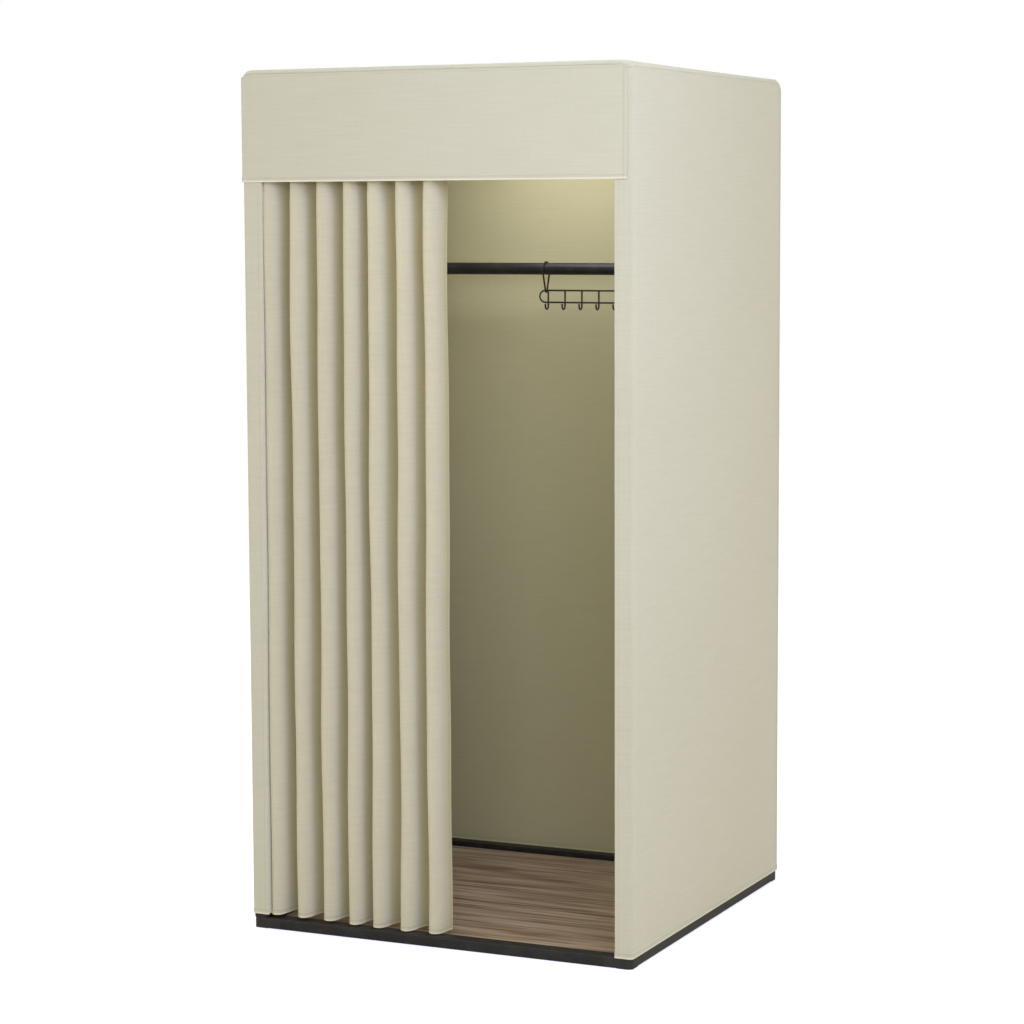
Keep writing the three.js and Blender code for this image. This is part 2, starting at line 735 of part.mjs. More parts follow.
// Wire loop with round ends, and J hooks that face the doorway; its left end is at the local origin
function hookRack() {
  const xAxis = new THREE.Vector3(1, 0, 0);
  const yAxis = new THREE.Vector3(0, 1, 0);
  const zAxis = new THREE.Vector3(0, 0, 1);
  const end = rackHeight / 2;
  const loop = wire([
    ...arc(new THREE.Vector3(end, 0, -end), xAxis, zAxis, end, fullTurn / 4, fullTurn * 3 / 4),
    ...arc(new THREE.Vector3(rackLength - end, 0, -end), xAxis, zAxis, end, -fullTurn / 4, fullTurn / 4),
  ], yAxis, rackWireRadius, true);
  const hooks = Array.from({ length: hookCount }, (_, i) => {
    const x = hookFirstInset + hookPitch * i;
    const bendZ = -rackHeight - hookStemBelow;
    const tip = new THREE.Vector3(x, -2 * hookRadius, bendZ + hookTipRise);
    const bend = arc(new THREE.Vector3(x, -hookRadius, bendZ), yAxis, zAxis, hookRadius, 0, -fullTurn / 2);
    return wire([new THREE.Vector3(x, 0, 0), ...bend, tip], xAxis, rackWireRadius);
  });
  return geometryOf(joined([loop, ...hooks]));
}

// Drop-shaped wire loop that lies over the rail and carries the rack's top wire at its foot
function rackHanger() {
  const yAxis = new THREE.Vector3(0, 1, 0);
  const zAxis = new THREE.Vector3(0, 0, 1);
  const xAxis = new THREE.Vector3(1, 0, 0);
  const footRadius = 2 * rackWireRadius + clearance;
  const loopZ = hangerLoopZ - rackTopZ;
  const lean = Math.asin((hangerLoopRadius - footRadius) / loopZ);
  const top = new THREE.Vector3(0, 0, loopZ);
  const foot = new THREE.Vector3(0, 0, 0);
  return wire([
    ...arc(top, yAxis, zAxis, hangerLoopRadius, -lean, fullTurn / 2 + lean, 2 * wireArcSteps),
    ...arc(foot, yAxis, zAxis, footRadius, fullTurn / 2 + lean, fullTurn - lean),
  ], xAxis, rackWireRadius, true);
}

function buildHookRack() {
  add("hook_rack", hookRack(), blackMetal, [rackLeft, railY, rackTopZ]);
  const leftX = rackLeft + hangerInset;
  const rightX = rackLeft + rackLength - hangerInset;
  add("rack_hanger_left", rackHanger(), blackMetal, [leftX, railY, rackTopZ]);
  add("rack_hanger_right", rackHanger(), blackMetal, [rightX, railY, rackTopZ]);
}

buildBase();
buildUprights();
buildTop();
buildClothesRail();
buildCurtainRod();
buildCurtain();
buildCover();
buildHookRack();

export default booth;
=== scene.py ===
import json
import math
import bpy
import numpy as np
from mathutils import Matrix, Vector


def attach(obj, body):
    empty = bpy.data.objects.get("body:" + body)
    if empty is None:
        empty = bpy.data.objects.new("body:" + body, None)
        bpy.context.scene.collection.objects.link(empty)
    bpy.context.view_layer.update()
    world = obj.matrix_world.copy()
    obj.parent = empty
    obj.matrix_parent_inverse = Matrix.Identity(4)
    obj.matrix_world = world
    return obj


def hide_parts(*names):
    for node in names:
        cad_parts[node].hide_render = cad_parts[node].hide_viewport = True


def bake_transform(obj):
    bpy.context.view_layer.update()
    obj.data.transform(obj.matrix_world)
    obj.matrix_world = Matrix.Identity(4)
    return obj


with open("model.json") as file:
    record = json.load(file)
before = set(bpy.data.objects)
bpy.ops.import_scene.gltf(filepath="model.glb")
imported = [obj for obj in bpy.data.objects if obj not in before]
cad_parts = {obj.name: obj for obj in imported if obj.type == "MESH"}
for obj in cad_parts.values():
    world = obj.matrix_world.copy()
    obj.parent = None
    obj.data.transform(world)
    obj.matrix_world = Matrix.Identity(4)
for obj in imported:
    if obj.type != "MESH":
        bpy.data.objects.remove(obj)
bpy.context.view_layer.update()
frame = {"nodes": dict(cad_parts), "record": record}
print("frame loaded,", len(frame["nodes"]), "nodes")

mm = 0.001
scene = bpy.context.scene

# Camera, fitted to the booth's own corners; its focal length is in pixels of a picture 1024 wide
cameraLook = {
    "focalPixels": 2844.5,
    "pictureWidth": 1024,
    "sensorWidth": 36,
    "farthest": 60,
    "place": (2.8402, -6.2093, 1.6732),
    "turn": 0.4327,
    "tilt": 0.1041,
    "roll": -0.0043,
}


def addCamera(look):
    lens = bpy.data.cameras.new("camera")
    lens.sensor_width = look["sensorWidth"]
    lens.lens = look["focalPixels"] / look["pictureWidth"] * look["sensorWidth"]
    lens.clip_end = look["farthest"]
    camera = bpy.data.objects.new("camera", lens)
    scene.collection.objects.link(camera)
    turn = Matrix.Rotation(look["turn"], 4, "Z")
    tilt = Matrix.Rotation(math.pi / 2 - look["tilt"], 4, "X")
    roll = Matrix.Rotation(look["roll"], 4, "Z")
    camera.matrix_world = Matrix.Translation(look["place"]) @ turn @ tilt @ roll
    scene.camera = camera


addCamera(cameraLook)


# Small helpers for colours and node trees
def toLinear(hexColour):
    channels = []
    for i in (1, 3, 5):
        value = int(hexColour[i:i + 2], 16) / 255
        channels.append(value / 12.92 if value <= 0.04045 else ((value + 0.055) / 1.055) ** 2.4)
    return (*channels, 1.0)


def addNode(tree, kind, settings=None, values=None, links=None):
    node = tree.nodes.new(kind)
    for name, value in (settings or {}).items():
        setattr(node, name, value)
    for socket, value in (values or {}).items():
        node.inputs[socket].default_value = value
    for socket, (source, output) in (links or {}).items():
        tree.links.new(source.outputs[output], node.inputs[socket])
    return node


def setRamp(node, stops):
    elements = node.color_ramp.elements
    while len(elements) < len(stops):
        elements.new(0.5)
    for element, (place, shade) in zip(elements, stops):
        element.position = place
        element.color = toLinear(shade)
    return node


def newMaterial(name):
    material = bpy.data.materials.new(name)
    material.use_nodes = True
    tree = material.node_tree
    tree.nodes.clear()
    return material, tree


# Speckle of a real size in millimetres, fixed to the object
def speckle(tree, size, detail, roughness=0.5):
    place = addNode(tree, "ShaderNodeTexCoord")
    return addNode(tree, "ShaderNodeTexNoise",
                   values={"Scale": 1 / (size * mm), "Detail": detail, "Roughness": roughness},
                   links={"Vector": (place, "Object")})


def finishMaterial(material, surface, colour, rough=None, bump=None):
    tree = material.node_tree
    sources = {"Base Color": colour, "Roughness": rough, "Normal": bump}
    links = {socket: (node, 0) for socket, node in sources.items() if node is not None}
    shader = addNode(tree, "ShaderNodeBsdfPrincipled", values=surface, links=links)
    addNode(tree, "ShaderNodeOutputMaterial", links={"Surface": (shader, 0)})
    return material


# Lights: a warm sky, a cool key lamp at the front right, a paler lamp before the doorway,
# a wide one behind for the back and left walls, and a small one below the cabin's roof
studioLook = {
    "skyColour": "#fff5c8",
    "skyStrength": 0.62,
    "lamps": {  # colour, place, point aimed at, width in metres, power in watts
        "key": ("#d7dfff", (1.95, -2.5, 2.75), (0.3, -0.3, 1.3), 1.5, 42),
        "front": ("#e9efff", (1.4, -4.05, 2.2), (0.0, 0.0, 1.0), 1.1, 37),
        "back": ("#e4eaff", (-2.5, 3.5, 3.5), (0.0, 0.2, 1.1), 2.0, 95),
        "cabin": ("#fdfcff", (0.0, 0.12, 1.94), (0.0, 0.12, 0.94), 0.5, 4.1),
    },
}


def addLamp(name, colour, place, aim, width, power):
    lamp = bpy.data.lights.new(name, "AREA")
    lamp.color = toLinear(colour)[:3]
    lamp.shape = "SQUARE"
    lamp.size = width
    lamp.energy = power
    holder = bpy.data.objects.new(name, lamp)
    holder.visible_camera = False
    scene.collection.objects.link(holder)
    away = Vector(place) - Vector(aim)
    holder.matrix_world = Matrix.Translation(place) @ away.to_track_quat("Z", "Y").to_matrix().to_4x4()


def addStudio(look):
    world = bpy.data.worlds.new("studio")
    world.use_nodes = True
    tree = world.node_tree
    tree.nodes.clear()
    path = addNode(tree, "ShaderNodeLightPath")
    shown = addNode(tree, "ShaderNodeMath", {"operation": "MAXIMUM"},
                    links={0: (path, "Is Camera Ray"), 1: (path, "Is Transmission Ray")})
    shown = addNode(tree, "ShaderNodeMath", {"operation": "MAXIMUM"},
                    links={0: (shown, 0), 1: (path, "Is Glossy Ray")})
    sky = addNode(tree, "ShaderNodeBackground",
                  values={"Color": toLinear(look["skyColour"]), "Strength": look["skyStrength"]})
    seen = addNode(tree, "ShaderNodeBackground", values={"Color": (1, 1, 1, 1), "Strength": 1.0})
    mix = addNode(tree, "ShaderNodeMixShader", links={0: (shown, 0), 1: (sky, 0), 2: (seen, 0)})
    addNode(tree, "ShaderNodeOutputWorld", links={"Surface": (mix, 0)})
    scene.world = world
    for name, settings in look["lamps"].items():
        addLamp(f"{name} lamp", *settings)
    scene.view_settings.view_transform = "Standard"


addStudio(studioLook)

# Floor: pale and matt, lifted to white for the camera but still dimmed by the booth's shadow
floorLook = {"halfSize": 14.0, "height": -0.0006, "colour": "#e6e5e2", "liftColour": "#e2e6ff", "lift": 0.74}


def addFloor(look):
    s, z = look["halfSize"], look["height"]
    mesh = bpy.data.meshes.new("studio_floor")
    mesh.from_pydata([(-s, -s, z), (s, -s, z), (s, s, z), (-s, s, z)], [], [(0, 1, 2, 3)])
    floor = bpy.data.objects.new("studio_floor", mesh)
    scene.collection.objects.link(floor)
    material, tree = newMaterial("pale studio floor")
    path = addNode(tree, "ShaderNodeLightPath")
    matt = addNode(tree, "ShaderNodeBsdfDiffuse", values={"Color": toLinear(look["colour"])})
    scaled = addNode(tree, "ShaderNodeMath", {"operation": "MULTIPLY"}, {1: look["lift"]},
                     {0: (path, "Is Camera Ray")})
    lift = addNode(tree, "ShaderNodeEmission", values={"Color": toLinear(look["liftColour"])},
                   links={"Strength": (scaled, 0)})
    both = addNode(tree, "ShaderNodeAddShader", links={0: (matt, 0), 1: (lift, 0)})
    addNode(tree, "ShaderNodeOutputMaterial", links={"Surface": (both, 0)})
    mesh.materials.append(material)


addFloor(floorLook)
print("camera, lights and floor done")

# Woven polyester with a linen look: matt, with slubs that run across and finer threads that run up.
# Real threads are 0.5 mm apart; slubs and threads are drawn 3 to 5 mm wide so that they show.
coverWeave = {
    "light": "#dfddd2",
    "shade": "#d6d4c6",
    # Painted shade: an olive tint multiplied into the colour between the curtain's ridges and on the back of the cloth
    "paintedShadeTint": "#edeacf",
    "through": 0.08,
    "throughTint": "#ffe8a8",
    "slubWidth": 4.2,
    "slubLength": 120.0,
    "threadWidth": 3.4,
    "threadLength": 90.0,
    "threadShare": 0.27,
    "weaveRange": (0.30, 0.70),
    "cloudSize": 420.0,
    "cloudShare": 0.42,
    "shadeStop": 0.12,
    "lightStop": 0.88,
    "hemShade": 0.955,
    # Painted highlight: folded edges are painted lighter by this share
    "paintedHighlightGain": 0.28,
    "bump": 0.35,
    "bumpDepth": 0.6,
    "roughness": (0.82, 0.94),
    "sheen": 0.12,
}

# The curtain's cloth is thinner, and it is written lighter than it looks, because its folds shade each other
curtainWeave = dict(
    coverWeave,
    light="#f0eee5",
    shade="#e6e4d8",
    # The curtain's painted shade between its ridges is a little paler
    paintedShadeTint="#f1eed7",
    through=0.34,
    throughTint="#fcf0be",
    slubWidth=4.6,
    slubLength=80.0,
    cloudSize=300.0,
)


def wovenCloth(name, look):
    material, tree = newMaterial(name)
    flat = addNode(tree, "ShaderNodeUVMap", {"uv_map": "cloth"})  # metres along and up the cloth

    def streaks(across, up, detail, seed):
        where, scale = (seed, seed * 0.7, seed), (1 / (across * mm), 1 / (up * mm), 1)
        scaled = addNode(tree, "ShaderNodeMapping", values={"Location": where, "Scale": scale},
                         links={"Vector": (flat, 0)})
        return addNode(tree, "ShaderNodeTexNoise", values={"Scale": 1.0, "Detail": detail, "Roughness": 0.6},
                       links={"Vector": (scaled, 0)})

    slubs = streaks(look["slubLength"], look["slubWidth"], 3.0, 3.1)
    threads = streaks(look["threadWidth"], look["threadLength"], 2.0, 7.7)
    clouds = speckle(tree, look["cloudSize"], 2.0)
    mixed = addNode(tree, "ShaderNodeMix", {"data_type": "FLOAT"}, {0: look["threadShare"]},
                    {2: (slubs, "Fac"), 3: (threads, "Fac")})
    low, high = look["weaveRange"]
    weave = addNode(tree, "ShaderNodeMapRange", values={1: low, 2: high}, links={0: (mixed, 0)})
    both = addNode(tree, "ShaderNodeMix", {"data_type": "FLOAT"}, {0: look["cloudShare"]},
                   {2: (weave, 0), 3: (clouds, "Fac")})
    colour = setRamp(addNode(tree, "ShaderNodeValToRGB", links={0: (both, 0)}),
                     [(look["shadeStop"], look["shade"]), (look["lightStop"], look["light"])])
    hem = addNode(tree, "ShaderNodeAttribute", {"attribute_name": "hem"})
    worn = addNode(tree, "ShaderNodeMapRange", values={3: 1.0, 4: look["hemShade"]}, links={0: (hem, "Fac")})
    # Painted highlight: the colour is made lighter along folded edges, as if they caught the light
    paintedHighlight = addNode(tree, "ShaderNodeAttribute", {"attribute_name": "paintedHighlight"})
    caught = addNode(tree, "ShaderNodeMath", {"operation": "MULTIPLY_ADD"}, {1: look["paintedHighlightGain"]},
                     {0: (paintedHighlight, "Fac"), 2: (worn, 0)})
    lit = addNode(tree, "ShaderNodeVectorMath", {"operation": "SCALE"}, links={0: (colour, 0), "Scale": (caught, 0)})
    # Painted shade: between the curtain's ridges and on the back of the cloth, the colour is multiplied by an olive
    # tint that stands in for shade
    paintedShade = addNode(tree, "ShaderNodeAttribute", {"attribute_name": "paintedShade"})
    tinted = addNode(tree, "ShaderNodeMix", {"data_type": "RGBA", "blend_type": "MULTIPLY"},
                     {7: toLinear(look["paintedShadeTint"])}, {0: (paintedShade, "Fac"), 6: (lit, 0)})
    bump = addNode(tree, "ShaderNodeBump", values={"Strength": look["bump"], "Distance": look["bumpDepth"] * mm},
                   links={"Height": (weave, 0)})
    low, high = look["roughness"]
    rough = addNode(tree, "ShaderNodeMapRange", values={3: low, 4: high}, links={0: (weave, 0)})
    surface = {"Diffuse Roughness": 1.0, "Sheen Weight": look["sheen"], "Sheen Roughness": 0.6,
               "Specular IOR Level": 0.22, "IOR": 1.46}
    front = addNode(tree, "ShaderNodeBsdfPrincipled", values=surface,
                    links={"Base Color": (tinted, 2), "Roughness": (rough, 0), "Normal": (bump, 0)})
    warmed = addNode(tree, "ShaderNodeVectorMath", {"operation": "MULTIPLY"}, {1: toLinear(look["throughTint"])[:3]},
                     {0: (tinted, 2)})
    back = addNode(tree, "ShaderNodeBsdfTranslucent", links={"Color": (warmed, 0), "Normal": (bump, 0)})
    mix = addNode(tree, "ShaderNodeMixShader", values={0: look["through"]}, links={1: (front, 0), 2: (back, 0)})
    addNode(tree, "ShaderNodeOutputMaterial", links={"Surface": (mix, 0)})
    return material


# Spun polyester sewing thread: a little darker than the cloth it sinks into
threadLook = {"colour": "#bcb79e", "twist": 1.2, "unevenness": (0.88, 1.08)}


def sewingThread(look):
    material, tree = newMaterial("spun polyester thread")
    twist = speckle(tree, look["twist"], 2.0)
    low, high = look["unevenness"]
    value = addNode(tree, "ShaderNodeMapRange", values={3: low, 4: high}, links={0: (twist, "Fac")})
    colour = addNode(tree, "ShaderNodeHueSaturation", values={"Color": toLinear(look["colour"])},
                     links={"Value": (value, 0)})
    return finishMaterial(material, {"Roughness": 0.7, "Specular IOR Level": 0.3}, colour)


coverCloth = wovenCloth("woven polyester cover", coverWeave)
curtainCloth = wovenCloth("woven polyester curtain", curtainWeave)
thread = sewingThread(threadLook)

# Powder coat on steel tube: satin black with a fine orange peel, a little grey dust and light rub marks.
# Real orange peel is about 1 mm across; it is drawn at 2.5 mm so that it shows. patch and grain give sizes in mm.
powderCoatLook = {
    "shades": [(0.5, "#201f20"), (0.75, "#343233")],
    "patch": (55.0, 5.0, 0.7),
    "roughness": (0.36, 0.52),
    "grain": (2.5, 1.0),
    "bump": 0.25,
    "bumpDepth": 0.15,
    "surface": {"IOR": 1.5, "Specular IOR Level": 0.36},
}

# Moulded ABS: near-black, matt, with a spark-eroded grain. The real grain is 0.3 mm; drawn at 1 mm.
mouldedLook = {
    "shades": [(0.35, "#222121"), (0.7, "#2a2928")],
    "patch": (40.0, 3.0),
    "roughness": (0.5, 0.62),
    "grain": (1.0, 2.0),
    "bump": 0.3,
    "bumpDepth": 0.1,
    "surface": {"IOR": 1.53, "Specular IOR Level": 0.4},
}

# Bright zinc plate on steel: pale grey metal with a cloudy finish
zincLook = {
    "shades": [(0.3, "#b7b5ae"), (0.7, "#c9c8c4")],
    "patch": (6.0, 3.0),
    "roughness": (0.24, 0.42),
    "surface": {"Metallic": 1.0},
}


def rigidFinish(name, look):
    material, tree = newMaterial(name)
    patch = speckle(tree, *look["patch"])
    colour = setRamp(addNode(tree, "ShaderNodeValToRGB", links={0: (patch, "Fac")}), look["shades"])
    low, high = look["roughness"]
    rough = addNode(tree, "ShaderNodeMapRange", values={3: low, 4: high}, links={0: (patch, "Fac")})
    bump = None
    if "grain" in look:
        bump = addNode(tree, "ShaderNodeBump", values={"Strength": look["bump"], "Distance": look["bumpDepth"] * mm},
                       links={"Height": (speckle(tree, *look["grain"]), "Fac")})
    return finishMaterial(material, look["surface"], colour, rough, bump)


# Laminate with a grey-brown oak print: long streaks across the booth under a matt lacquer.
# Real pores are about 0.3 mm wide; they are drawn at 2.4 mm so that they show.
boardLook = {
    "dark": "#5f4b3c",
    "mid": "#a68e79",
    "light": "#d2bea8",
    "grainLength": 260.0,
    "grainWidth": 9.0,
    "bandShare": 0.45,
    "poreWidth": 2.4,
    "poreShade": 0.80,
    "roughness": (0.42, 0.6),
}


def oakLaminate(look):
    material, tree = newMaterial("oak-print laminate")
    place = addNode(tree, "ShaderNodeTexCoord")

    def grain(length, width, detail, seed):
        where, scale = (seed, seed, 0), (1 / (length * mm), 1 / (width * mm), 1)
        scaled = addNode(tree, "ShaderNodeMapping", values={"Location": where, "Scale": scale},
                         links={"Vector": (place, "Object")})
        return addNode(tree, "ShaderNodeTexNoise", values={"Scale": 1.0, "Detail": detail, "Distortion": 0.4},
                       links={"Vector": (scaled, 0)})

    streak = grain(look["grainLength"], look["grainWidth"], 3.0, 4.0)
    band = grain(look["grainLength"] * 1.6, look["grainWidth"] * 3.6, 2.0, 9.0)
    pore = grain(look["grainLength"] * 0.35, look["poreWidth"], 2.0, 1.5)
    mixed = addNode(tree, "ShaderNodeMix", {"data_type": "FLOAT"}, {0: look["bandShare"]},
                    {2: (streak, "Fac"), 3: (band, "Fac")})
    colour = setRamp(addNode(tree, "ShaderNodeValToRGB", links={0: (mixed, 0)}),
                     [(0.34, look["dark"]), (0.48, look["mid"]), (0.64, look["light"])])
    pores = addNode(tree, "ShaderNodeMapRange", values={1: 0.30, 2: 0.48, 3: look["poreShade"]},
                    links={0: (pore, "Fac")})
    tinted = addNode(tree, "ShaderNodeVectorMath", {"operation": "SCALE"}, links={0: (colour, 0), "Scale": (pores, 0)})
    low, high = look["roughness"]
    rough = addNode(tree, "ShaderNodeMapRange", values={3: high, 4: low}, links={0: (mixed, 0)})
    bump = addNode(tree, "ShaderNodeBump", values={"Strength": 0.2, "Distance": 0.2 * mm}, links={"Height": (pores, 0)})
    return finishMaterial(material, {"IOR": 1.5, "Specular IOR Level": 0.4}, tinted, rough, bump)


rigidMaterials = {
    "black_metal": rigidFinish("satin powder coat", powderCoatLook),
    "black_plastic": rigidFinish("moulded ABS", mouldedLook),
    "steel": rigidFinish("zinc-plated steel", zincLook),
    "wood": oakLaminate(boardLook),
}

# The rigid parts keep their CAD shape: loose triangles are joined and shaded smooth across shallow angles
smoothLook = {"joinDistance": 0.01 * mm, "sharpAngle": math.radians(32), "wireAngle": math.radians(75)}


def smoothingTree(look):
    tree = bpy.data.node_groups.new("join and smooth", "GeometryNodeTree")
    tree.interface.new_socket("Geometry", in_out="INPUT", socket_type="NodeSocketGeometry")
    limit = tree.interface.new_socket("Sharp angle", in_out="INPUT", socket_type="NodeSocketFloat").identifier
    tree.interface.new_socket("Geometry", in_out="OUTPUT", socket_type="NodeSocketGeometry")
    start = addNode(tree, "NodeGroupInput")
    joined = addNode(tree, "GeometryNodeMergeByDistance", values={"Distance": look["joinDistance"]},
                     links={"Geometry": (start, 0)})
    soft = addNode(tree, "GeometryNodeSetShadeSmooth", {"domain": "FACE"}, links={"Geometry": (joined, 0)})
    angle = addNode(tree, "GeometryNodeInputMeshEdgeAngle")
    sharp = addNode(tree, "FunctionNodeCompare", {"data_type": "FLOAT", "operation": "GREATER_THAN"},
                    links={0: (angle, "Unsigned Angle"), 1: (start, "Sharp angle")})
    edges = addNode(tree, "GeometryNodeSetShadeSmooth", {"domain": "EDGE"}, {"Shade Smooth": False},
                    {"Geometry": (soft, 0), "Selection": (sharp, 0)})
    addNode(tree, "NodeGroupOutput", links={0: (edges, 0)})
    return tree, limit


def dressRigidParts():
    tree, limit = smoothingTree(smoothLook)
    for part in frame["record"]["subparts"]:
        material = rigidMaterials.get(part["material_slot"])
        if material is None:
            continue
        node = frame["nodes"][part["node"]]
        for slot in node.material_slots:
            slot.link = "OBJECT"
            slot.material = material
        modifier = node.modifiers.new("join and smooth", "NODES")
        modifier.node_group = tree
        isWire = part["node"].startswith(("hook_rack", "rack_hanger", "curtain_ring"))
        modifier[limit] = smoothLook["wireAngle" if isWire else "sharpAngle"]


dressRigidParts()
print("rigid parts dressed")


# Steps and slopes along the cloth. Places, sizes and distances on cloth are in millimetres from here on.
def smoothstep(x, low, high):
    t = np.clip((x - low) / (high - low), 0, 1)
    return t * t * (3 - 2 * t)


def beyond(place, line, slope=0.5):
    return smoothstep(place, line - slope, line + slope)


def stations(length, coarse, keys, steps=(0.5, 1.2, 2.5, 5.0), closest=0.3):
    places = list(np.linspace(0, length, max(2, round(length / coarse) + 1)))
    for key in keys:
        places.append(key)
        places += [key + sign * step for step in steps for sign in (-1, 1)]
    places = sorted(p for p in places if 0 <= p <= length)
    kept = [0.0]
    for p in places:
        if p - kept[-1] > closest:
            kept.append(p)
    kept[-1] = length
    return np.array(kept)


def onPlan(plan, z):
    points = np.zeros((*z.shape, 3))
    points[..., 0], points[..., 1], points[..., 2] = plan[:, None, 0], plan[:, None, 1], z
    return points


def surfaceNormals(points, closed=False):
    if closed:
        along = np.roll(points, -1, 0) - np.roll(points, 1, 0)
    else:
        along = np.gradient(points, axis=0)
    up = np.gradient(points, axis=1)
    normals = np.cross(along, up)
    return normals / np.maximum(np.linalg.norm(normals, axis=2, keepdims=True), 1e-9)


# Cloth is built as a closed shell: a grid of outer points, the same grid a thickness further in, and a rim.
# The hem mask is 1 where the cloth is sewn double. The painted-highlight mask is 1 along a folded edge, which is
# painted lighter.
# The painted-shade mask is 1 between the curtain's ridges, which are painted more olive; without it, the back of the
# cloth, which faces the booth's shaded inside, gets that painted shade in full.
def clothShell(name, outer, inner, uv, hem, paintedHighlight, material, mirror=False, closed=False, centre=False, paintedShade=None):
    columns, rows = outer.shape[:2]
    count = columns * rows
    points = np.concatenate([outer.reshape(-1, 3), inner.reshape(-1, 3)]) * mm
    if mirror:
        points[:, 0] *= -1
    uvs = np.concatenate([uv.reshape(-1, 2)] * 2) * mm
    hems = np.concatenate([hem.reshape(-1)] * 2)
    paintedHighlights = np.concatenate([paintedHighlight.reshape(-1)] * 2)
    paintedShades = np.repeat([0.0, 1.0], count) if paintedShade is None else np.concatenate([paintedShade.reshape(-1)] * 2)
    last = columns if closed else columns - 1
    i, j = np.meshgrid(np.arange(last), np.arange(rows - 1), indexing="ij")
    a, b = (i * rows + j).ravel(), (((i + 1) % columns) * rows + j).ravel()
    outside = np.stack([a, b, b + 1, a + 1], 1)
    inside = np.stack([a, a + 1, b + 1, b], 1) + count
    rims = []

    def rim(chain):
        chain = np.array(chain)
        rims.append(np.stack([chain[:-1], chain[:-1] + count, chain[1:] + count, chain[1:]], 1))

    ring = [k * rows for k in range(columns)] + ([0] if closed else [])
    rim(ring)
    if not centre:
        rim([k + rows - 1 for k in ring][::-1])
    if not closed:
        rim(list(range(rows))[::-1])
        rim([(columns - 1) * rows + k for k in range(rows)])
    faces = np.concatenate([outside, inside, *rims]).tolist()
    smooth = [True] * (len(outside) + len(inside)) + [False] * sum(len(r) for r in rims)
    if centre:  # close the middle of a round of loops
        top = [k * rows + rows - 1 for k in range(columns)]
        points = np.concatenate([points, points[top].mean(0)[None], points[[k + count for k in top]].mean(0)[None]])
        uvs = np.concatenate([uvs, uvs[top].mean(0)[None], uvs[top].mean(0)[None]])
        hems, paintedHighlights, paintedShades = (np.concatenate(pair) for pair in ((hems, [0, 0]), (paintedHighlights, [0, 0]), (paintedShades, [0, 1])))
        for k in range(columns):
            m = (k + 1) % columns
            faces.append([top[k], top[m], 2 * count])
            faces.append([top[m] + count, top[k] + count, 2 * count + 1])
            smooth += [True, True]
    if mirror:
        faces = [f[::-1] for f in faces]
    mesh = bpy.data.meshes.new(name)
    mesh.from_pydata(points.tolist(), [], faces)
    mesh.polygons.foreach_set("use_smooth", smooth)
    layer = mesh.uv_layers.new(name="cloth")
    corners = np.zeros(len(mesh.loops), dtype=np.int32)
    mesh.loops.foreach_get("vertex_index", corners)
    layer.data.foreach_set("uv", uvs[corners].astype(np.float32).ravel())
    for word, values in (("hem", hems), ("paintedHighlight", paintedHighlights), ("paintedShade", paintedShades)):
        attribute = mesh.attributes.new(word, "FLOAT", "POINT")
        attribute.data.foreach_set("value", values.astype(np.float32))
    mesh.materials.append(material)
    mesh.update()
    piece = bpy.data.objects.new(name, mesh)
    scene.collection.objects.link(piece)
    return piece


# Sewing: Geometry Nodes lay one small bead of thread for each stitch along every row.
# Real stitches are 3 mm apart and 0.3 mm thick; they are drawn 5 mm apart and 0.9 mm thick so that they show.
stitchLook = {
    "Spacing": 5.2,
    "Stitch length": 3.8,
    "Thread radius": 0.45,
    "Seed": 12,
    "unevenness": (0.86, 1.12),
    "sunk": 0.1,
}


def stitchTree(look):
    tree = bpy.data.node_groups.new("sewn rows", "GeometryNodeTree")
    tree.interface.new_socket("Rows", in_out="INPUT", socket_type="NodeSocketGeometry")
    kinds = dict.fromkeys(("Spacing", "Stitch length", "Thread radius"), "Float")
    sockets = {
        word: tree.interface.new_socket(word, in_out="INPUT", socket_type=f"NodeSocket{kind}").identifier
        for word, kind in {**kinds, "Seed": "Int", "Thread": "Material"}.items()
    }
    tree.interface.new_socket("Stitches", in_out="OUTPUT", socket_type="NodeSocketGeometry")
    start = addNode(tree, "NodeGroupInput")
    curves = addNode(tree, "GeometryNodeMeshToCurve", links={"Mesh": (start, "Rows")})
    spots = addNode(tree, "GeometryNodeCurveToPoints", {"mode": "LENGTH"},
                    links={"Curve": (curves, 0), "Length": (start, "Spacing")})
    bead = addNode(tree, "GeometryNodeMeshIcoSphere", values={"Radius": 1.0, "Subdivisions": 1})
    smoothed = addNode(tree, "GeometryNodeSetShadeSmooth", {"domain": "FACE"}, links={"Geometry": (bead, 0)})
    turned = addNode(tree, "FunctionNodeAlignRotationToVector", {"axis": "X"}, links={"Vector": (spots, "Tangent")})
    half = addNode(tree, "ShaderNodeMath", {"operation": "MULTIPLY"}, {1: 0.5}, {0: (start, "Stitch length")})
    size = addNode(tree, "ShaderNodeCombineXYZ",
                   links={0: (half, 0), 1: (start, "Thread radius"), 2: (start, "Thread radius")})
    low, high = look["unevenness"]
    uneven = addNode(tree, "FunctionNodeRandomValue", {"data_type": "FLOAT"}, {2: low, 3: high},
                     {"Seed": (start, "Seed")})
    scaled = addNode(tree, "ShaderNodeVectorMath", {"operation": "SCALE"}, links={0: (size, 0), "Scale": (uneven, 1)})
    parts = {"Points": (spots, 0), "Instance": (smoothed, 0), "Rotation": (turned, 0), "Scale": (scaled, 0)}
    laid = addNode(tree, "GeometryNodeInstanceOnPoints", links=parts)
    real = addNode(tree, "GeometryNodeRealizeInstances", links={"Geometry": (laid, 0)})
    threaded = addNode(tree, "GeometryNodeSetMaterial", links={"Geometry": (real, 0), "Material": (start, "Thread")})
    addNode(tree, "NodeGroupOutput", links={0: (threaded, 0)})
    return tree, sockets


sewingTree, sewingSockets = stitchTree(stitchLook)


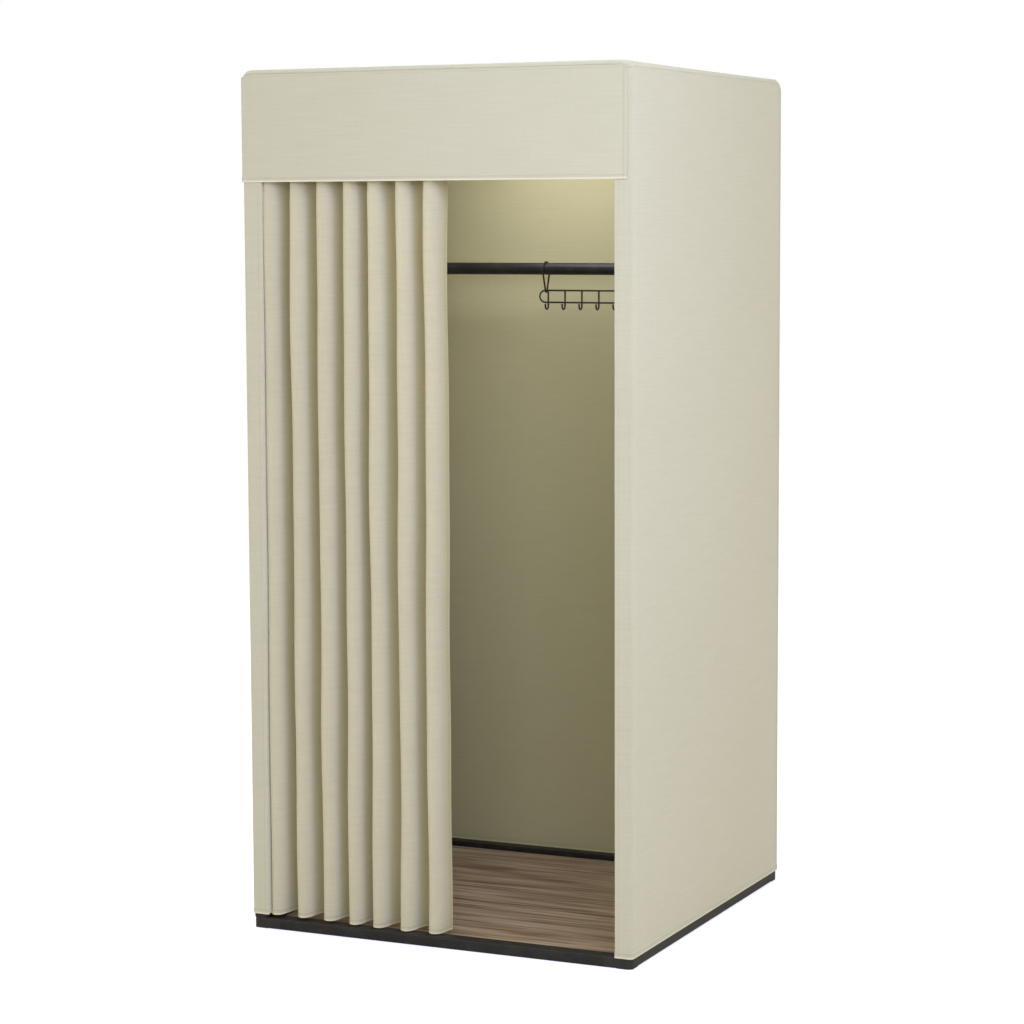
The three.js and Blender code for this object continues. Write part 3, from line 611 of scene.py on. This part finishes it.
# A row across the cloth at one height, or up it at one distance, taken from the grid of outer points
def rowAcross(outer, up, height, first=0):
    k = int(np.clip(np.searchsorted(up, height), 1, len(up) - 1))
    share = (height - up[k - 1]) / (up[k] - up[k - 1])
    return (outer[:, k - 1] * (1 - share) + outer[:, k] * share)[first:]


def rowUp(outer, along, distance, top=None):
    k = int(np.clip(np.searchsorted(along, distance), 1, len(along) - 1))
    share = (distance - along[k - 1]) / (along[k] - along[k - 1])
    row = outer[k - 1] * (1 - share) + outer[k] * share
    return row if top is None else row[row[:, 2] < top]


def sewRows(name, rows, mirror=False):
    points, edges = [], []
    for row in rows:
        edges += [(len(points) + k, len(points) + k + 1) for k in range(len(row) - 1)]
        points += [((-p[0] if mirror else p[0]) * mm, p[1] * mm, p[2] * mm) for p in row]
    mesh = bpy.data.meshes.new(name + "_rows")
    mesh.from_pydata(points, edges, [])
    source = bpy.data.objects.new(name + "_rows", mesh)
    scene.collection.objects.link(source)
    modifier = source.modifiers.new("sewn rows", "NODES")
    modifier.node_group = sewingTree
    for word in ("Spacing", "Stitch length", "Thread radius"):
        modifier[sewingSockets[word]] = stitchLook[word] * mm
    modifier[sewingSockets["Seed"]] = stitchLook["Seed"]
    modifier[sewingSockets["Thread"]] = thread
    evaluated = source.evaluated_get(bpy.context.evaluated_depsgraph_get())
    piece = bpy.data.objects.new(name, bpy.data.meshes.new_from_object(evaluated))
    scene.collection.objects.link(piece)
    bpy.data.objects.remove(source)
    return piece


# Slow undulation of stretched cloth: a few long waves, the same on each run
def undulation(u, v, seed, sizes=(520, 330, 210), heights=(0.55, 0.3, 0.15), wavesEach=3):
    total = np.zeros(np.broadcast(u, v).shape)
    turn = np.random.default_rng(seed)
    for size, height in zip(sizes, heights):
        for _ in range(wavesEach):
            angle, phase = turn.uniform(0, math.tau), turn.uniform(0, math.tau)
            across = u * math.cos(angle) + v * math.sin(angle)
            total += height / wavesEach * np.sin(across * math.tau / size + phase)
    return total


# A path on the plan: straight runs with rounded corners, followed with the outside on its right
class PlanPath:
    def __init__(self, corners, radii):
        points = [np.array(c, float) for c in corners]
        self.runs = []
        self.keys = [0.0]
        here, total = points[0], 0.0
        for k in range(1, len(points)):
            toNext = points[k] - points[k - 1]
            toNext /= np.linalg.norm(toNext)
            if k < len(points) - 1 and radii[k] > 0:
                radius = radii[k]
                after = points[k + 1] - points[k]
                after /= np.linalg.norm(after)
                turn = math.acos(np.clip(toNext @ after, -1, 1))
                cut = radius * math.tan(turn / 2)
                begin = points[k] - toNext * cut
                left = np.array([-toNext[1], toNext[0]])
                side = left if left @ after > 0 else -left
                total = self.addLine(here, begin, total)
                spoke = -side * radius
                arc = {"start": total, "length": radius * turn, "centre": begin - spoke, "spoke": spoke}
                self.runs.append(dict(arc, turn=turn * (side @ left)))
                self.keys += [total, total + radius * turn / 2, total + radius * turn]
                total += radius * turn
                here = points[k] + after * cut
            else:
                total = self.addLine(here, points[k], total)
                here = points[k]
        self.length = total
        self.keys.append(total)

    def addLine(self, begin, end, total):
        length = float(np.linalg.norm(end - begin))
        self.runs.append({"start": total, "length": length, "begin": begin, "way": (end - begin) / max(length, 1e-9)})
        return total + length

    def at(self, distances, slip=1e-6):
        result = np.zeros((len(distances), 2))
        for run in self.runs:
            inside = (distances >= run["start"] - slip) & (distances <= run["start"] + run["length"] + slip)
            along = distances[inside] - run["start"]
            if "way" in run:
                result[inside] = run["begin"] + along[:, None] * run["way"]
            else:
                angle = along / run["length"] * run["turn"]
                x, y = run["spoke"]
                c, s = np.cos(angle), np.sin(angle)
                result[inside] = run["centre"] + np.stack([x * c - y * s, x * s + y * c], 1)
        return result


# Cover: cloth walls, roof and valance
coverLook = {
    "half": 485.0,
    "low": 24.0,
    "top": 1989.95,
    "roofLow": 1990.0,
    "thickness": 2.0,
    "edgeRadius": 10.0,
    "foldRadius": 1.6,
    "frontStrip": 482.7,
    "stripInner": {"right": 442.4, "left": 435.4},
    "stripInset": 444.4,
    "stripStitch": 7.5,
    "leftTaper": 5.4,
    "leftTaperTop": 1750.0,
    "leftTaperRun": 24.0,
    "leftRise": 10.0,
    "leftRiseEnd": (82, 130),
    "leftRiseTop": 700.0,
    "legInner": 444.6,
    "legBack": -442.5,
    "legLow": 25.3,
    "legBend": 1940.0,
    "legTop": 1961.4,
    "seamY": 471.0,
    "seamGap": 0.15,
    "seamWidth": 3.0,
    "seamRoll": 0.6,
    "seamStitch": 5.0,
    "hemHeight": 13.0,
    "hemSlope": 0.6,
    "hemProud": 0.9,
    "hemRound": (1.4, 0.5),  # height and depth
    "hemStitch": 1.6,
    # Painted highlight: over which height the folded bottom edge is painted lighter
    "paintedHighlightReach": (2.5, 5.5),
    "ballInset": 38.3,
    "ballCentreZ": 1961.7,
    "ballRadius": 50.02,
    "fullRadius": 54.5,
    "ballRows": (4, 9, 14, 19, 24),
    "crown": 5.5,
    "crownBack": 330.0,
    "crownCorner": (-6, 30),
    "crownLow": 1900.0,
    "coarse": (16.0, 24.0),  # longest step along and up the cloth
}

# Slack of the walls: none where the frame holds them, a slow undulation between.
# near and far are where it grows and ends along the wall; a negative distance is counted from the wall's end.
slackLook = {
    "depth": 2.6,
    "feet": (60, 420),
    "heads": (1640, 1950),
    "side": {"near": (-920, -690), "far": (-240, -15), "lean": -0.7, "wave": -0.5, "seed": 5},
    "back": {"near": (50, 300), "far": (-300, -50), "lean": -0.3, "wave": 0.5, "seed": 9},
}


def slackOf(kind, s, z):
    look = slackLook[kind]
    near, far = ([edge + s.max() if edge < 0 else edge for edge in look[end]] for end in ("near", "far"))
    inside = smoothstep(s, *near) * (1 - smoothstep(s, *far))
    inside = inside * smoothstep(z, *slackLook["feet"]) * (1 - smoothstep(z, *slackLook["heads"]))
    return slackLook["depth"] * inside * (look["lean"] + look["wave"] * undulation(s, z, look["seed"]))


# Points beyond a top corner's ball are pulled onto it; the front left corner is a little fuller
def ontoBalls(points, frontInset, fullCorner):
    look = coverLook
    inset = look["half"] - look["ballInset"]
    for signX, signY in ((-1, -1), (1, -1), (-1, 1), (1, 1)):
        radius = look["fullRadius" if (signX, signY) == fullCorner else "ballRadius"]
        centre = np.array([signX * inset, signY * (frontInset if signY < 0 else inset), look["ballCentreZ"]])
        away = points - centre
        outside = (away[..., 0] * signX > 0) & (away[..., 1] * signY > 0) & (away[..., 2] > 0)
        distance = np.linalg.norm(away, axis=-1)
        outside &= distance > radius
        points[outside] = centre + away[outside] * (radius / distance[outside])[:, None]
    return points


# The roof's edge stands a little above the frame at the front and comes down to it at the back and at the corners
def crown(points):
    look = coverLook
    x, y, z = points[..., 0], points[..., 1], points[..., 2]
    share = 1 - smoothstep(y, -look["half"], look["crownBack"])
    share = share * smoothstep(look["half"] - np.abs(x), *look["crownCorner"])
    points[..., 2] += look["crown"] * share * smoothstep(z, look["crownLow"], look["roofLow"])
    return points


# A side wall's turned-in edge ends below the top corner and stands on the base; the left strip widens downwards
def trimStrip(points, s, path, mirror):
    look = coverLook
    z = points[..., 2].copy()
    bend = look["legBend"]
    squeeze = (look["legTop"] - bend) / (look["top"] - bend)
    standing = np.maximum(z, look["legLow"] + (z - look["low"]) * 0.01)
    leg = np.where(z > bend, bend + (z - bend) * squeeze, standing)
    points[..., 2] = np.where(s < path.keys[2] - 1.2, leg, z)
    if mirror:
        taper = look["leftTaper"] * (1 - np.clip(z / look["leftTaperTop"], 0, 1) ** 2)
        edgeEnd = 1 - smoothstep(s, path.keys[3], path.keys[3] + look["leftTaperRun"])
        points[..., 0] += taper * smoothstep(s, 0, path.keys[1]) * edgeEnd


def buildWall(name, path, kind, mirror=False):
    look = coverLook
    isSide = kind == "side"
    seams = [path.length] if isSide else [0, path.length]
    coarseAlong, coarseUp = look["coarse"]
    along = stations(path.length, coarseAlong, path.keys)
    height = look["top"] - look["low"]
    ballKeys = [look["ballCentreZ"] - look["low"] + row for row in look["ballRows"]]
    up = stations(height, coarseUp, [0, look["hemHeight"], height] + ballKeys)
    s, z = np.meshgrid(along, up + look["low"], indexing="ij")
    points = onPlan(path.at(along), z)
    if isSide:
        trimStrip(points, s, path, mirror)
    rounded = ontoBalls(points, look["stripInset"], (1, -1) if mirror else None)
    normals = surfaceNormals(rounded)
    band = 1 - beyond(z - look["low"], look["hemHeight"], look["hemSlope"])
    proud = look["hemProud"] * band
    reach, depth = look["hemRound"]
    edge = depth * (1 - smoothstep(z - look["low"], 0, reach))  # the fold at the hem is round
    seam = np.zeros_like(s)
    for end in seams:
        seam = np.maximum(seam, 1 - smoothstep(np.abs(s - end), 0, look["seamWidth"]))
    roll = look["seamRoll"] * seam
    outer = rounded + normals * (proud - edge - roll + slackOf(kind, s, z))[..., None]
    inner = outer - normals * (look["thickness"] + proud - edge - roll)[..., None]
    if mirror:  # the left hem hangs a little higher at the doorway
        lift = look["leftRise"] * (1 - smoothstep(s, *look["leftRiseEnd"]))
        lift = lift * (1 - smoothstep(z, look["low"], look["leftRiseTop"]))
        outer[..., 2] += lift
        inner[..., 2] += lift
    hem = np.clip(band + seam, 0, 1)
    # Painted highlight along the folded bottom edge
    paintedHighlight = 1 - smoothstep(z - look["low"], *look["paintedHighlightReach"])
    outer, inner = crown(outer), crown(inner)
    piece = clothShell(name, outer, inner, np.stack([s, z], -1), hem, paintedHighlight, coverCloth, mirror)
    sewn = outer - normals * stitchLook["sunk"]
    first = int(np.searchsorted(along, path.keys[3] + 2)) if isSide else 0
    rows = [rowAcross(sewn, up, look["hemHeight"] - look["hemStitch"], first)]
    rows += [rowUp(sewn, along, abs(end - look["seamStitch"])) for end in seams]
    if isSide:
        rows.append(rowUp(sewn, along, path.keys[3] + look["stripStitch"]))
    stitching = sewRows(name + "_stitching", rows, mirror)
    return piece, path.length, height, stitching


# Plan of each wall: from the turned-in edge round the strip to the back seam, and from seam to seam at the back
half, front, seamY = coverLook["half"], -coverLook["frontStrip"], coverLook["seamY"]
legEnd = (coverLook["legInner"], coverLook["legBack"])
seamEnd, backEnd = seamY - coverLook["seamGap"], seamY + coverLook["seamGap"]
sidePaths = {
    side: PlanPath([legEnd, (inner, front), (half, front), (half, seamEnd)],
                   [0, coverLook["foldRadius"], coverLook["edgeRadius"], 0])
    for side, inner in coverLook["stripInner"].items()
}
backPath = PlanPath([(half, backEnd), (half, half), (-half, half), (-half, backEnd)],
                    [0, coverLook["edgeRadius"], coverLook["edgeRadius"], 0])


def declareCloth(piece, node, stitching=None):
    for each in (piece, stitching):
        if each is not None:
            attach(each, "root")
    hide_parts(node)


for side, mirror in (("right", False), ("left", True)):
    wall, width, length, stitching = buildWall(f"{side}_wall_cloth", sidePaths[side], "side", mirror)
    declareCloth(wall, f"cover_{side}", stitching)
wall, width, length, stitching = buildWall("back_wall_cloth", backPath, "back")
declareCloth(wall, "cover_back", stitching)
print("walls sewn")

# Roof: loops that climb the rounded edge and then close in on the middle
roofLook = {
    "thickness": 2.0,
    "coarse": 16.0,
    "cornerSteps": (2, 5, 9),
    "cornerPoints": 9,
    "arcSteps": 7,
    "arcShare": 0.8,
    "edgeInsets": (2, 4, 7, 11, 16, 22, 29, 37, 46, 58, 72),
    "middleInset": 90.0,
    "middleStep": 18.0,
    "sag": 4.0,
    "sagFrame": (200, 445),
    "seed": 21,
    "lipWidth": (14, 8),
    "lipProud": 0.7,
    "lipTop": (3, 9.5),
}


def buildRoof(look):
    half, radius, low = coverLook["half"], coverLook["edgeRadius"], coverLook["roofLow"]
    straight = half - radius
    runs = np.linspace(-straight, straight, round(2 * straight / look["coarse"]))
    steps = np.array(look["cornerSteps"])
    side = sorted(set(np.round(np.concatenate([runs, -straight + steps, straight - steps]), 3)))
    core, out = [], []  # a point on the inner square and the way out from it, so that a smaller loop keeps its shape
    for turn in range(4):
        c, s = math.cos(turn * math.pi / 2), math.sin(turn * math.pi / 2)
        for x in side:
            core.append((x * c + straight * s, x * s - straight * c))
            out.append((s, -c))
        for angle in np.linspace(0, math.pi / 2, look["cornerPoints"])[1:-1]:
            dx, dy = math.sin(angle), -math.cos(angle)
            core.append((straight * c + straight * s, straight * s - straight * c))
            out.append((dx * c - dy * s, dx * s + dy * c))
    core, out = np.array(core), np.array(out)
    rows = []
    for angle in np.linspace(0, math.pi / 2, look["arcSteps"] + 1):
        reach = radius * (math.cos(angle) * look["arcShare"] + 1 - look["arcShare"])
        rows.append((core + out * reach, low + radius * math.sin(angle)))
    flat = rows[-1][0]
    for inset in (*look["edgeInsets"], *np.arange(look["middleInset"], straight - 8, look["middleStep"])):
        rows.append((flat * (1 - inset / straight), low + radius))
    points = np.zeros((len(core), len(rows), 3))
    for j, (xy, z) in enumerate(rows):
        points[:, j, :2], points[:, j, 2] = xy, z
    x, y = points[..., 0], points[..., 1]
    middle = (1 - smoothstep(np.abs(x), *look["sagFrame"])) * (1 - smoothstep(np.abs(y), *look["sagFrame"]))
    lipBack, lipFront = (half - width for width in look["lipWidth"])
    lip = smoothstep(-y, lipBack, lipFront)  # only the front edge is a lip over the cloth below
    points = ontoBalls(points, half - coverLook["ballInset"], (-1, -1))
    normals = surfaceNormals(points, closed=True)
    height = points[..., 2] - low
    edge = (0.1 + 0.4 * lip) * (1 - smoothstep(height, 0, 1.2))
    proud = look["lipProud"] * lip * (1 - smoothstep(height, *look["lipTop"]))
    slack = look["sag"] * middle * (0.8 + 0.25 * undulation(x, y, look["seed"]))
    outer = points + normals * (proud - edge - slack)[..., None]
    inner = outer - normals * (look["thickness"] - edge)[..., None]
    outer, inner = crown(outer), crown(inner)
    hem = lip * (1 - smoothstep(height, 0, 3))
    uv = np.stack([x, y], -1)
    piece = clothShell("roof_cloth", outer, inner, uv, hem, 0 * hem, coverCloth, closed=True, centre=True)
    declareCloth(piece, "cover_roof")


buildRoof(roofLook)
print("roof laid")

# Valance: hangs over the doorway from the front roof seam; its left end turns a little round the corner
valanceLook = {
    "outer": -485.0,
    "left": -485.8,
    "wrapBack": -479.6,
    "wrapRadius": 5.0,
    "right": 473.0,
    "cornerRadius": 4.0,
    "low": 1750.0,
    "top": 1989.7,
    "thickness": 1.9,
    "edgeWidth": 1.2,
    "edgeRound": 0.45,
    "hemHeight": 11.0,
    "hemProud": 0.8,
    "hemStitch": 1.2,
    "sideHem": 9.0,
    "sideStitch": 0.8,
    "seamStitch": 5.5,
    "ripple": 1.3,
    "rippleStart": (20, 120),
    "rippleSizes": (640, 360, 240),
    "seed": 33,
    "coarse": (12.0, 10.0),
    "weaveStart": 3000,
}


def buildValance(look):
    corners = [(look["left"], look["wrapBack"]), (look["left"], look["outer"]), (look["right"], look["outer"])]
    path = PlanPath(corners, [0, look["wrapRadius"], 0])
    length, height = path.length, look["top"] - look["low"]
    sideLine = length - look["sideHem"]
    coarseAlong, coarseUp = look["coarse"]
    along = stations(length, coarseAlong, path.keys + [sideLine])
    up = stations(height, coarseUp, [0, look["hemHeight"], height])
    s, v = np.meshgrid(along, up, indexing="ij")
    corner, nearEnd = look["cornerRadius"], np.minimum(s, length - s)
    arc = corner - np.sqrt(np.maximum(corner ** 2 - (corner - nearEnd) ** 2, 0))
    z = look["low"] + v * (height - np.where(nearEnd < corner, arc, 0)) / height
    points = onPlan(path.at(along), z)
    normals = surfaceNormals(points)
    band = 1 - beyond(v, look["hemHeight"])
    side = beyond(s, sideLine)
    bottomEdge = 1 - smoothstep(v, 0, look["edgeWidth"])
    sideEdge = smoothstep(s, length - look["edgeWidth"], length)
    topEdge = smoothstep(v, height - 2, height)
    edge = look["edgeRound"] * np.maximum.reduce([bottomEdge, sideEdge, topEdge])
    free = (1 - smoothstep(v, 0, height * 0.8)) * smoothstep(s, *look["rippleStart"])
    swell = np.clip(undulation(s, v, look["seed"], sizes=look["rippleSizes"]) * 1.6, -1, 1)
    proud = look["hemProud"] * np.maximum(band, 0.7 * side)
    offset = proud + look["ripple"] * free * (0.5 + 0.5 * swell) - edge
    outer = points + normals * offset[..., None]
    inner = outer - normals * (look["thickness"] + proud - edge)[..., None]
    outer, inner = crown(outer), crown(inner)
    hem = np.clip(band + side, 0, 1)
    # Painted highlight along the folded bottom edge and, weaker, along the side edge
    paintedHighlight = np.maximum(1 - smoothstep(v, 2.5, 5), 0.3 * smoothstep(s, length - 3.5, length - 1.5))
    uv = np.stack([s + look["weaveStart"], z], -1)
    piece = clothShell("valance_cloth", outer, inner, uv, hem, paintedHighlight, coverCloth)
    sewn = outer - normals * stitchLook["sunk"]
    rows = [
        rowAcross(sewn, up, look["hemHeight"] - look["hemStitch"]),
        rowAcross(sewn, up, height - look["seamStitch"]),
        rowUp(sewn, along, sideLine + look["sideStitch"], look["top"] - 8),
    ]
    stitching = sewRows("valance_stitching", rows)
    declareCloth(piece, "valance", stitching)


buildValance(valanceLook)
print("valance hung")

# Curtain: seven stretches between rings, one continuous wave.
# Distances along it are counted in waves, from ridge to ridge. A ripple is its size, the height of one wave
# of it, and its lag from ridge to ridge.
curtainLook = {
    "pitch": 67.5,
    "depth": 66.0,
    "fullness": 0.80,
    "firstRidge": -422.0,
    "middleY": -437.0,
    "low": 28.0,
    "top": 1874.7,
    "thickness": 1.9,
    "edgeRound": 0.4,
    "ridgeShift": (-6.0, -6.5, -4.0, -3.5, -8.5, -2.5, 0.0, 1.0),
    "firstForward": 4.5,
    "firstWave": -0.45,
    "leadingEdge": 0.13,
    "clipped": (170, 40),
    "swayRipples": ((1.3, 940, 1.1), (0.6, 410, 2.0)),
    "depthRipple": (0.035, 1300, 1.9),
    "driftRipple": (0.9, 620, 3.3),
    "spread": 0.03,
    "spreadTop": 900,
    "leftRise": 5.5,
    "leftRiseEnd": (-0.25, 4.5),
    "leftRiseTop": 700,
    "hemHeight": 11.0,
    "hemProud": 0.7,
    "hemStitch": 1.4,
    "header": 26.0,
    "sideHem": 9.0,
    "sideStitch": 7.6,
    # Painted highlight: over which height the folded hem is painted lighter
    "paintedHighlightReach": (2.5, 5.5),
    # Painted shade: where between the ridges the olive tint grows
    "paintedShadeRange": (0.2, 0.9),
    "columns": 44,
    "fewestColumns": 16,
    "coarseUp": 22.0,
    "measureHeight": 900.0,
}


def ringAt(number):
    return -0.25 if number == 0 else number - 0.75


def ripple(sizes, waves, z):
    size, height, lag = sizes
    return size * np.sin(z * math.tau / height + lag * waves)


def curtainPoint(waves, z):
    look = curtainLook
    pitch, depth = look["pitch"], look["depth"]
    x = pitch * waves + look["fullness"] * pitch / (4 * math.pi) * np.sin(4 * math.pi * waves)
    y = -depth / 2 * np.cos(2 * math.pi * waves)
    clipLow, clipHigh = (look["top"] - down for down in look["clipped"])
    free = 1 - smoothstep(z, clipLow, clipHigh)  # the clips hold the top in place
    shifts = np.interp(waves, np.arange(-1, 9), [0, *look["ridgeShift"], 0])
    sway = sum(ripple(sizes, waves, z) for sizes in look["swayRipples"])
    x = x + free * (shifts + sway * smoothstep(waves, -0.4, 0.6))
    spread = look["spread"] * (1 - smoothstep(z, look["low"], look["spreadTop"]))
    y = y * (1 + free * (ripple(look["depthRipple"], waves, z) + spread))
    y = y + free * ripple(look["driftRipple"], waves, z)
    y = y - look["firstForward"] * free * (1 - smoothstep(np.abs(waves), 0.1, 0.5))
    return x + look["firstRidge"], y + look["middleY"]


# Length of cloth from its hidden left edge, measured at one height, so that the weave runs on from stretch to stretch
curtainRun = np.linspace(curtainLook["firstWave"], ringAt(7) + curtainLook["leadingEdge"], 3000)
runX, runY = curtainPoint(curtainRun, np.full_like(curtainRun, curtainLook["measureHeight"]))
curtainLengths = np.concatenate([[0], np.cumsum(np.hypot(np.diff(runX), np.diff(runY)))])


def curtainNormals(w, z, step=1e-4):
    ahead, behind = curtainPoint(w + step, z), curtainPoint(w - step, z)
    above, below = curtainPoint(w, z + 1), curtainPoint(w, z - 1)
    along = np.stack([ahead[0] - behind[0], ahead[1] - behind[1], np.zeros_like(z)], -1)
    rise = np.stack([above[0] - below[0], above[1] - below[1], np.full_like(z, 2.0)], -1)
    normals = np.cross(along, rise)
    return normals / np.linalg.norm(normals, axis=-1, keepdims=True)


def buildFold(number):
    look = curtainLook
    last = number == 7
    begin = look["firstWave"] if number == 1 else ringAt(number - 1)
    end = ringAt(number) + (look["leadingEdge"] if last else 0)
    columns = max(look["fewestColumns"], round(look["columns"] * (end - begin)))
    hair = 0.0004  # hair-thin end columns keep the shading even
    waves = np.sort(np.concatenate([np.linspace(begin, end, columns + 1), [begin + hair, end - hair]]))
    height = look["top"] - look["low"]
    up = stations(height, look["coarseUp"], [0, look["hemHeight"], height - look["header"], height])
    w, z = np.meshgrid(waves, up + look["low"], indexing="ij")
    points = np.stack([*curtainPoint(w, z), z], -1)
    normals = curtainNormals(w, z)
    s = np.interp(w, curtainRun, curtainLengths)
    start, stop = s.min(), s.max()
    band = 1 - beyond(z - look["low"], look["hemHeight"])
    head = beyond(z, look["top"] - look["header"])
    side = beyond(s, stop - look["sideHem"]) if last else 0 * s
    edge = np.maximum(1 - smoothstep(z - look["low"], 0, 1.2), smoothstep(z, look["top"] - 1.2, look["top"]))
    proud = look["hemProud"] * np.maximum(band, 0.6 * side) / 2
    apart = normals * (look["thickness"] / 2 + proud - look["edgeRound"] * edge)[..., None]
    outer, inner = points + apart, points - apart
    hem = np.clip(band + 0.7 * head + side, 0, 1)
    # Painted highlight along the folded bottom edge, and on the last stretch along its leading edge
    paintedHighlight = 1 - smoothstep(z - look["low"], *look["paintedHighlightReach"])
    if last:
        paintedHighlight = np.maximum(paintedHighlight, 0.4 * smoothstep(s, stop - 3.5, stop - 1.5))
    lift = look["leftRise"] * (1 - smoothstep(w, *look["leftRiseEnd"]))
    lift = lift * (1 - smoothstep(z, look["low"], look["leftRiseTop"]))
    outer[..., 2] += lift
    inner[..., 2] += lift
    uv = np.stack([s, z], -1)
    # Painted shade: between the ridges the colour is painted more olive, for the shade deep in the folds
    paintedShade = smoothstep(0.5 - 0.5 * np.cos(2 * math.pi * w), *look["paintedShadeRange"])  # 0 on a ridge, 1 between ridges
    piece = clothShell(f"curtain_cloth_{number}", outer, inner, uv, hem, paintedHighlight, curtainCloth, paintedShade=paintedShade)
    sewn = outer - normals * stitchLook["sunk"]
    rows = [
        rowAcross(sewn, up, look["hemHeight"] - look["hemStitch"]),
        rowAcross(sewn, up, height - look["header"] + look["hemStitch"]),
    ]
    if last:
        rows.append(rowUp(sewn, s[:, 0], stop - look["sideStitch"]))
    stitching = sewRows(f"curtain_stitching_{number}", rows)
    return piece, stop - start, height, stitching


# A stretch only has its placement baked into its mesh
def blendFold(piece):
    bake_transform(piece)


for number in range(1, 8):
    piece, width, length, stitching = buildFold(number)
    for each in (piece, stitching):
        blendFold(each)
    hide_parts(f"curtain_fold_{number}")
print("curtain hung")
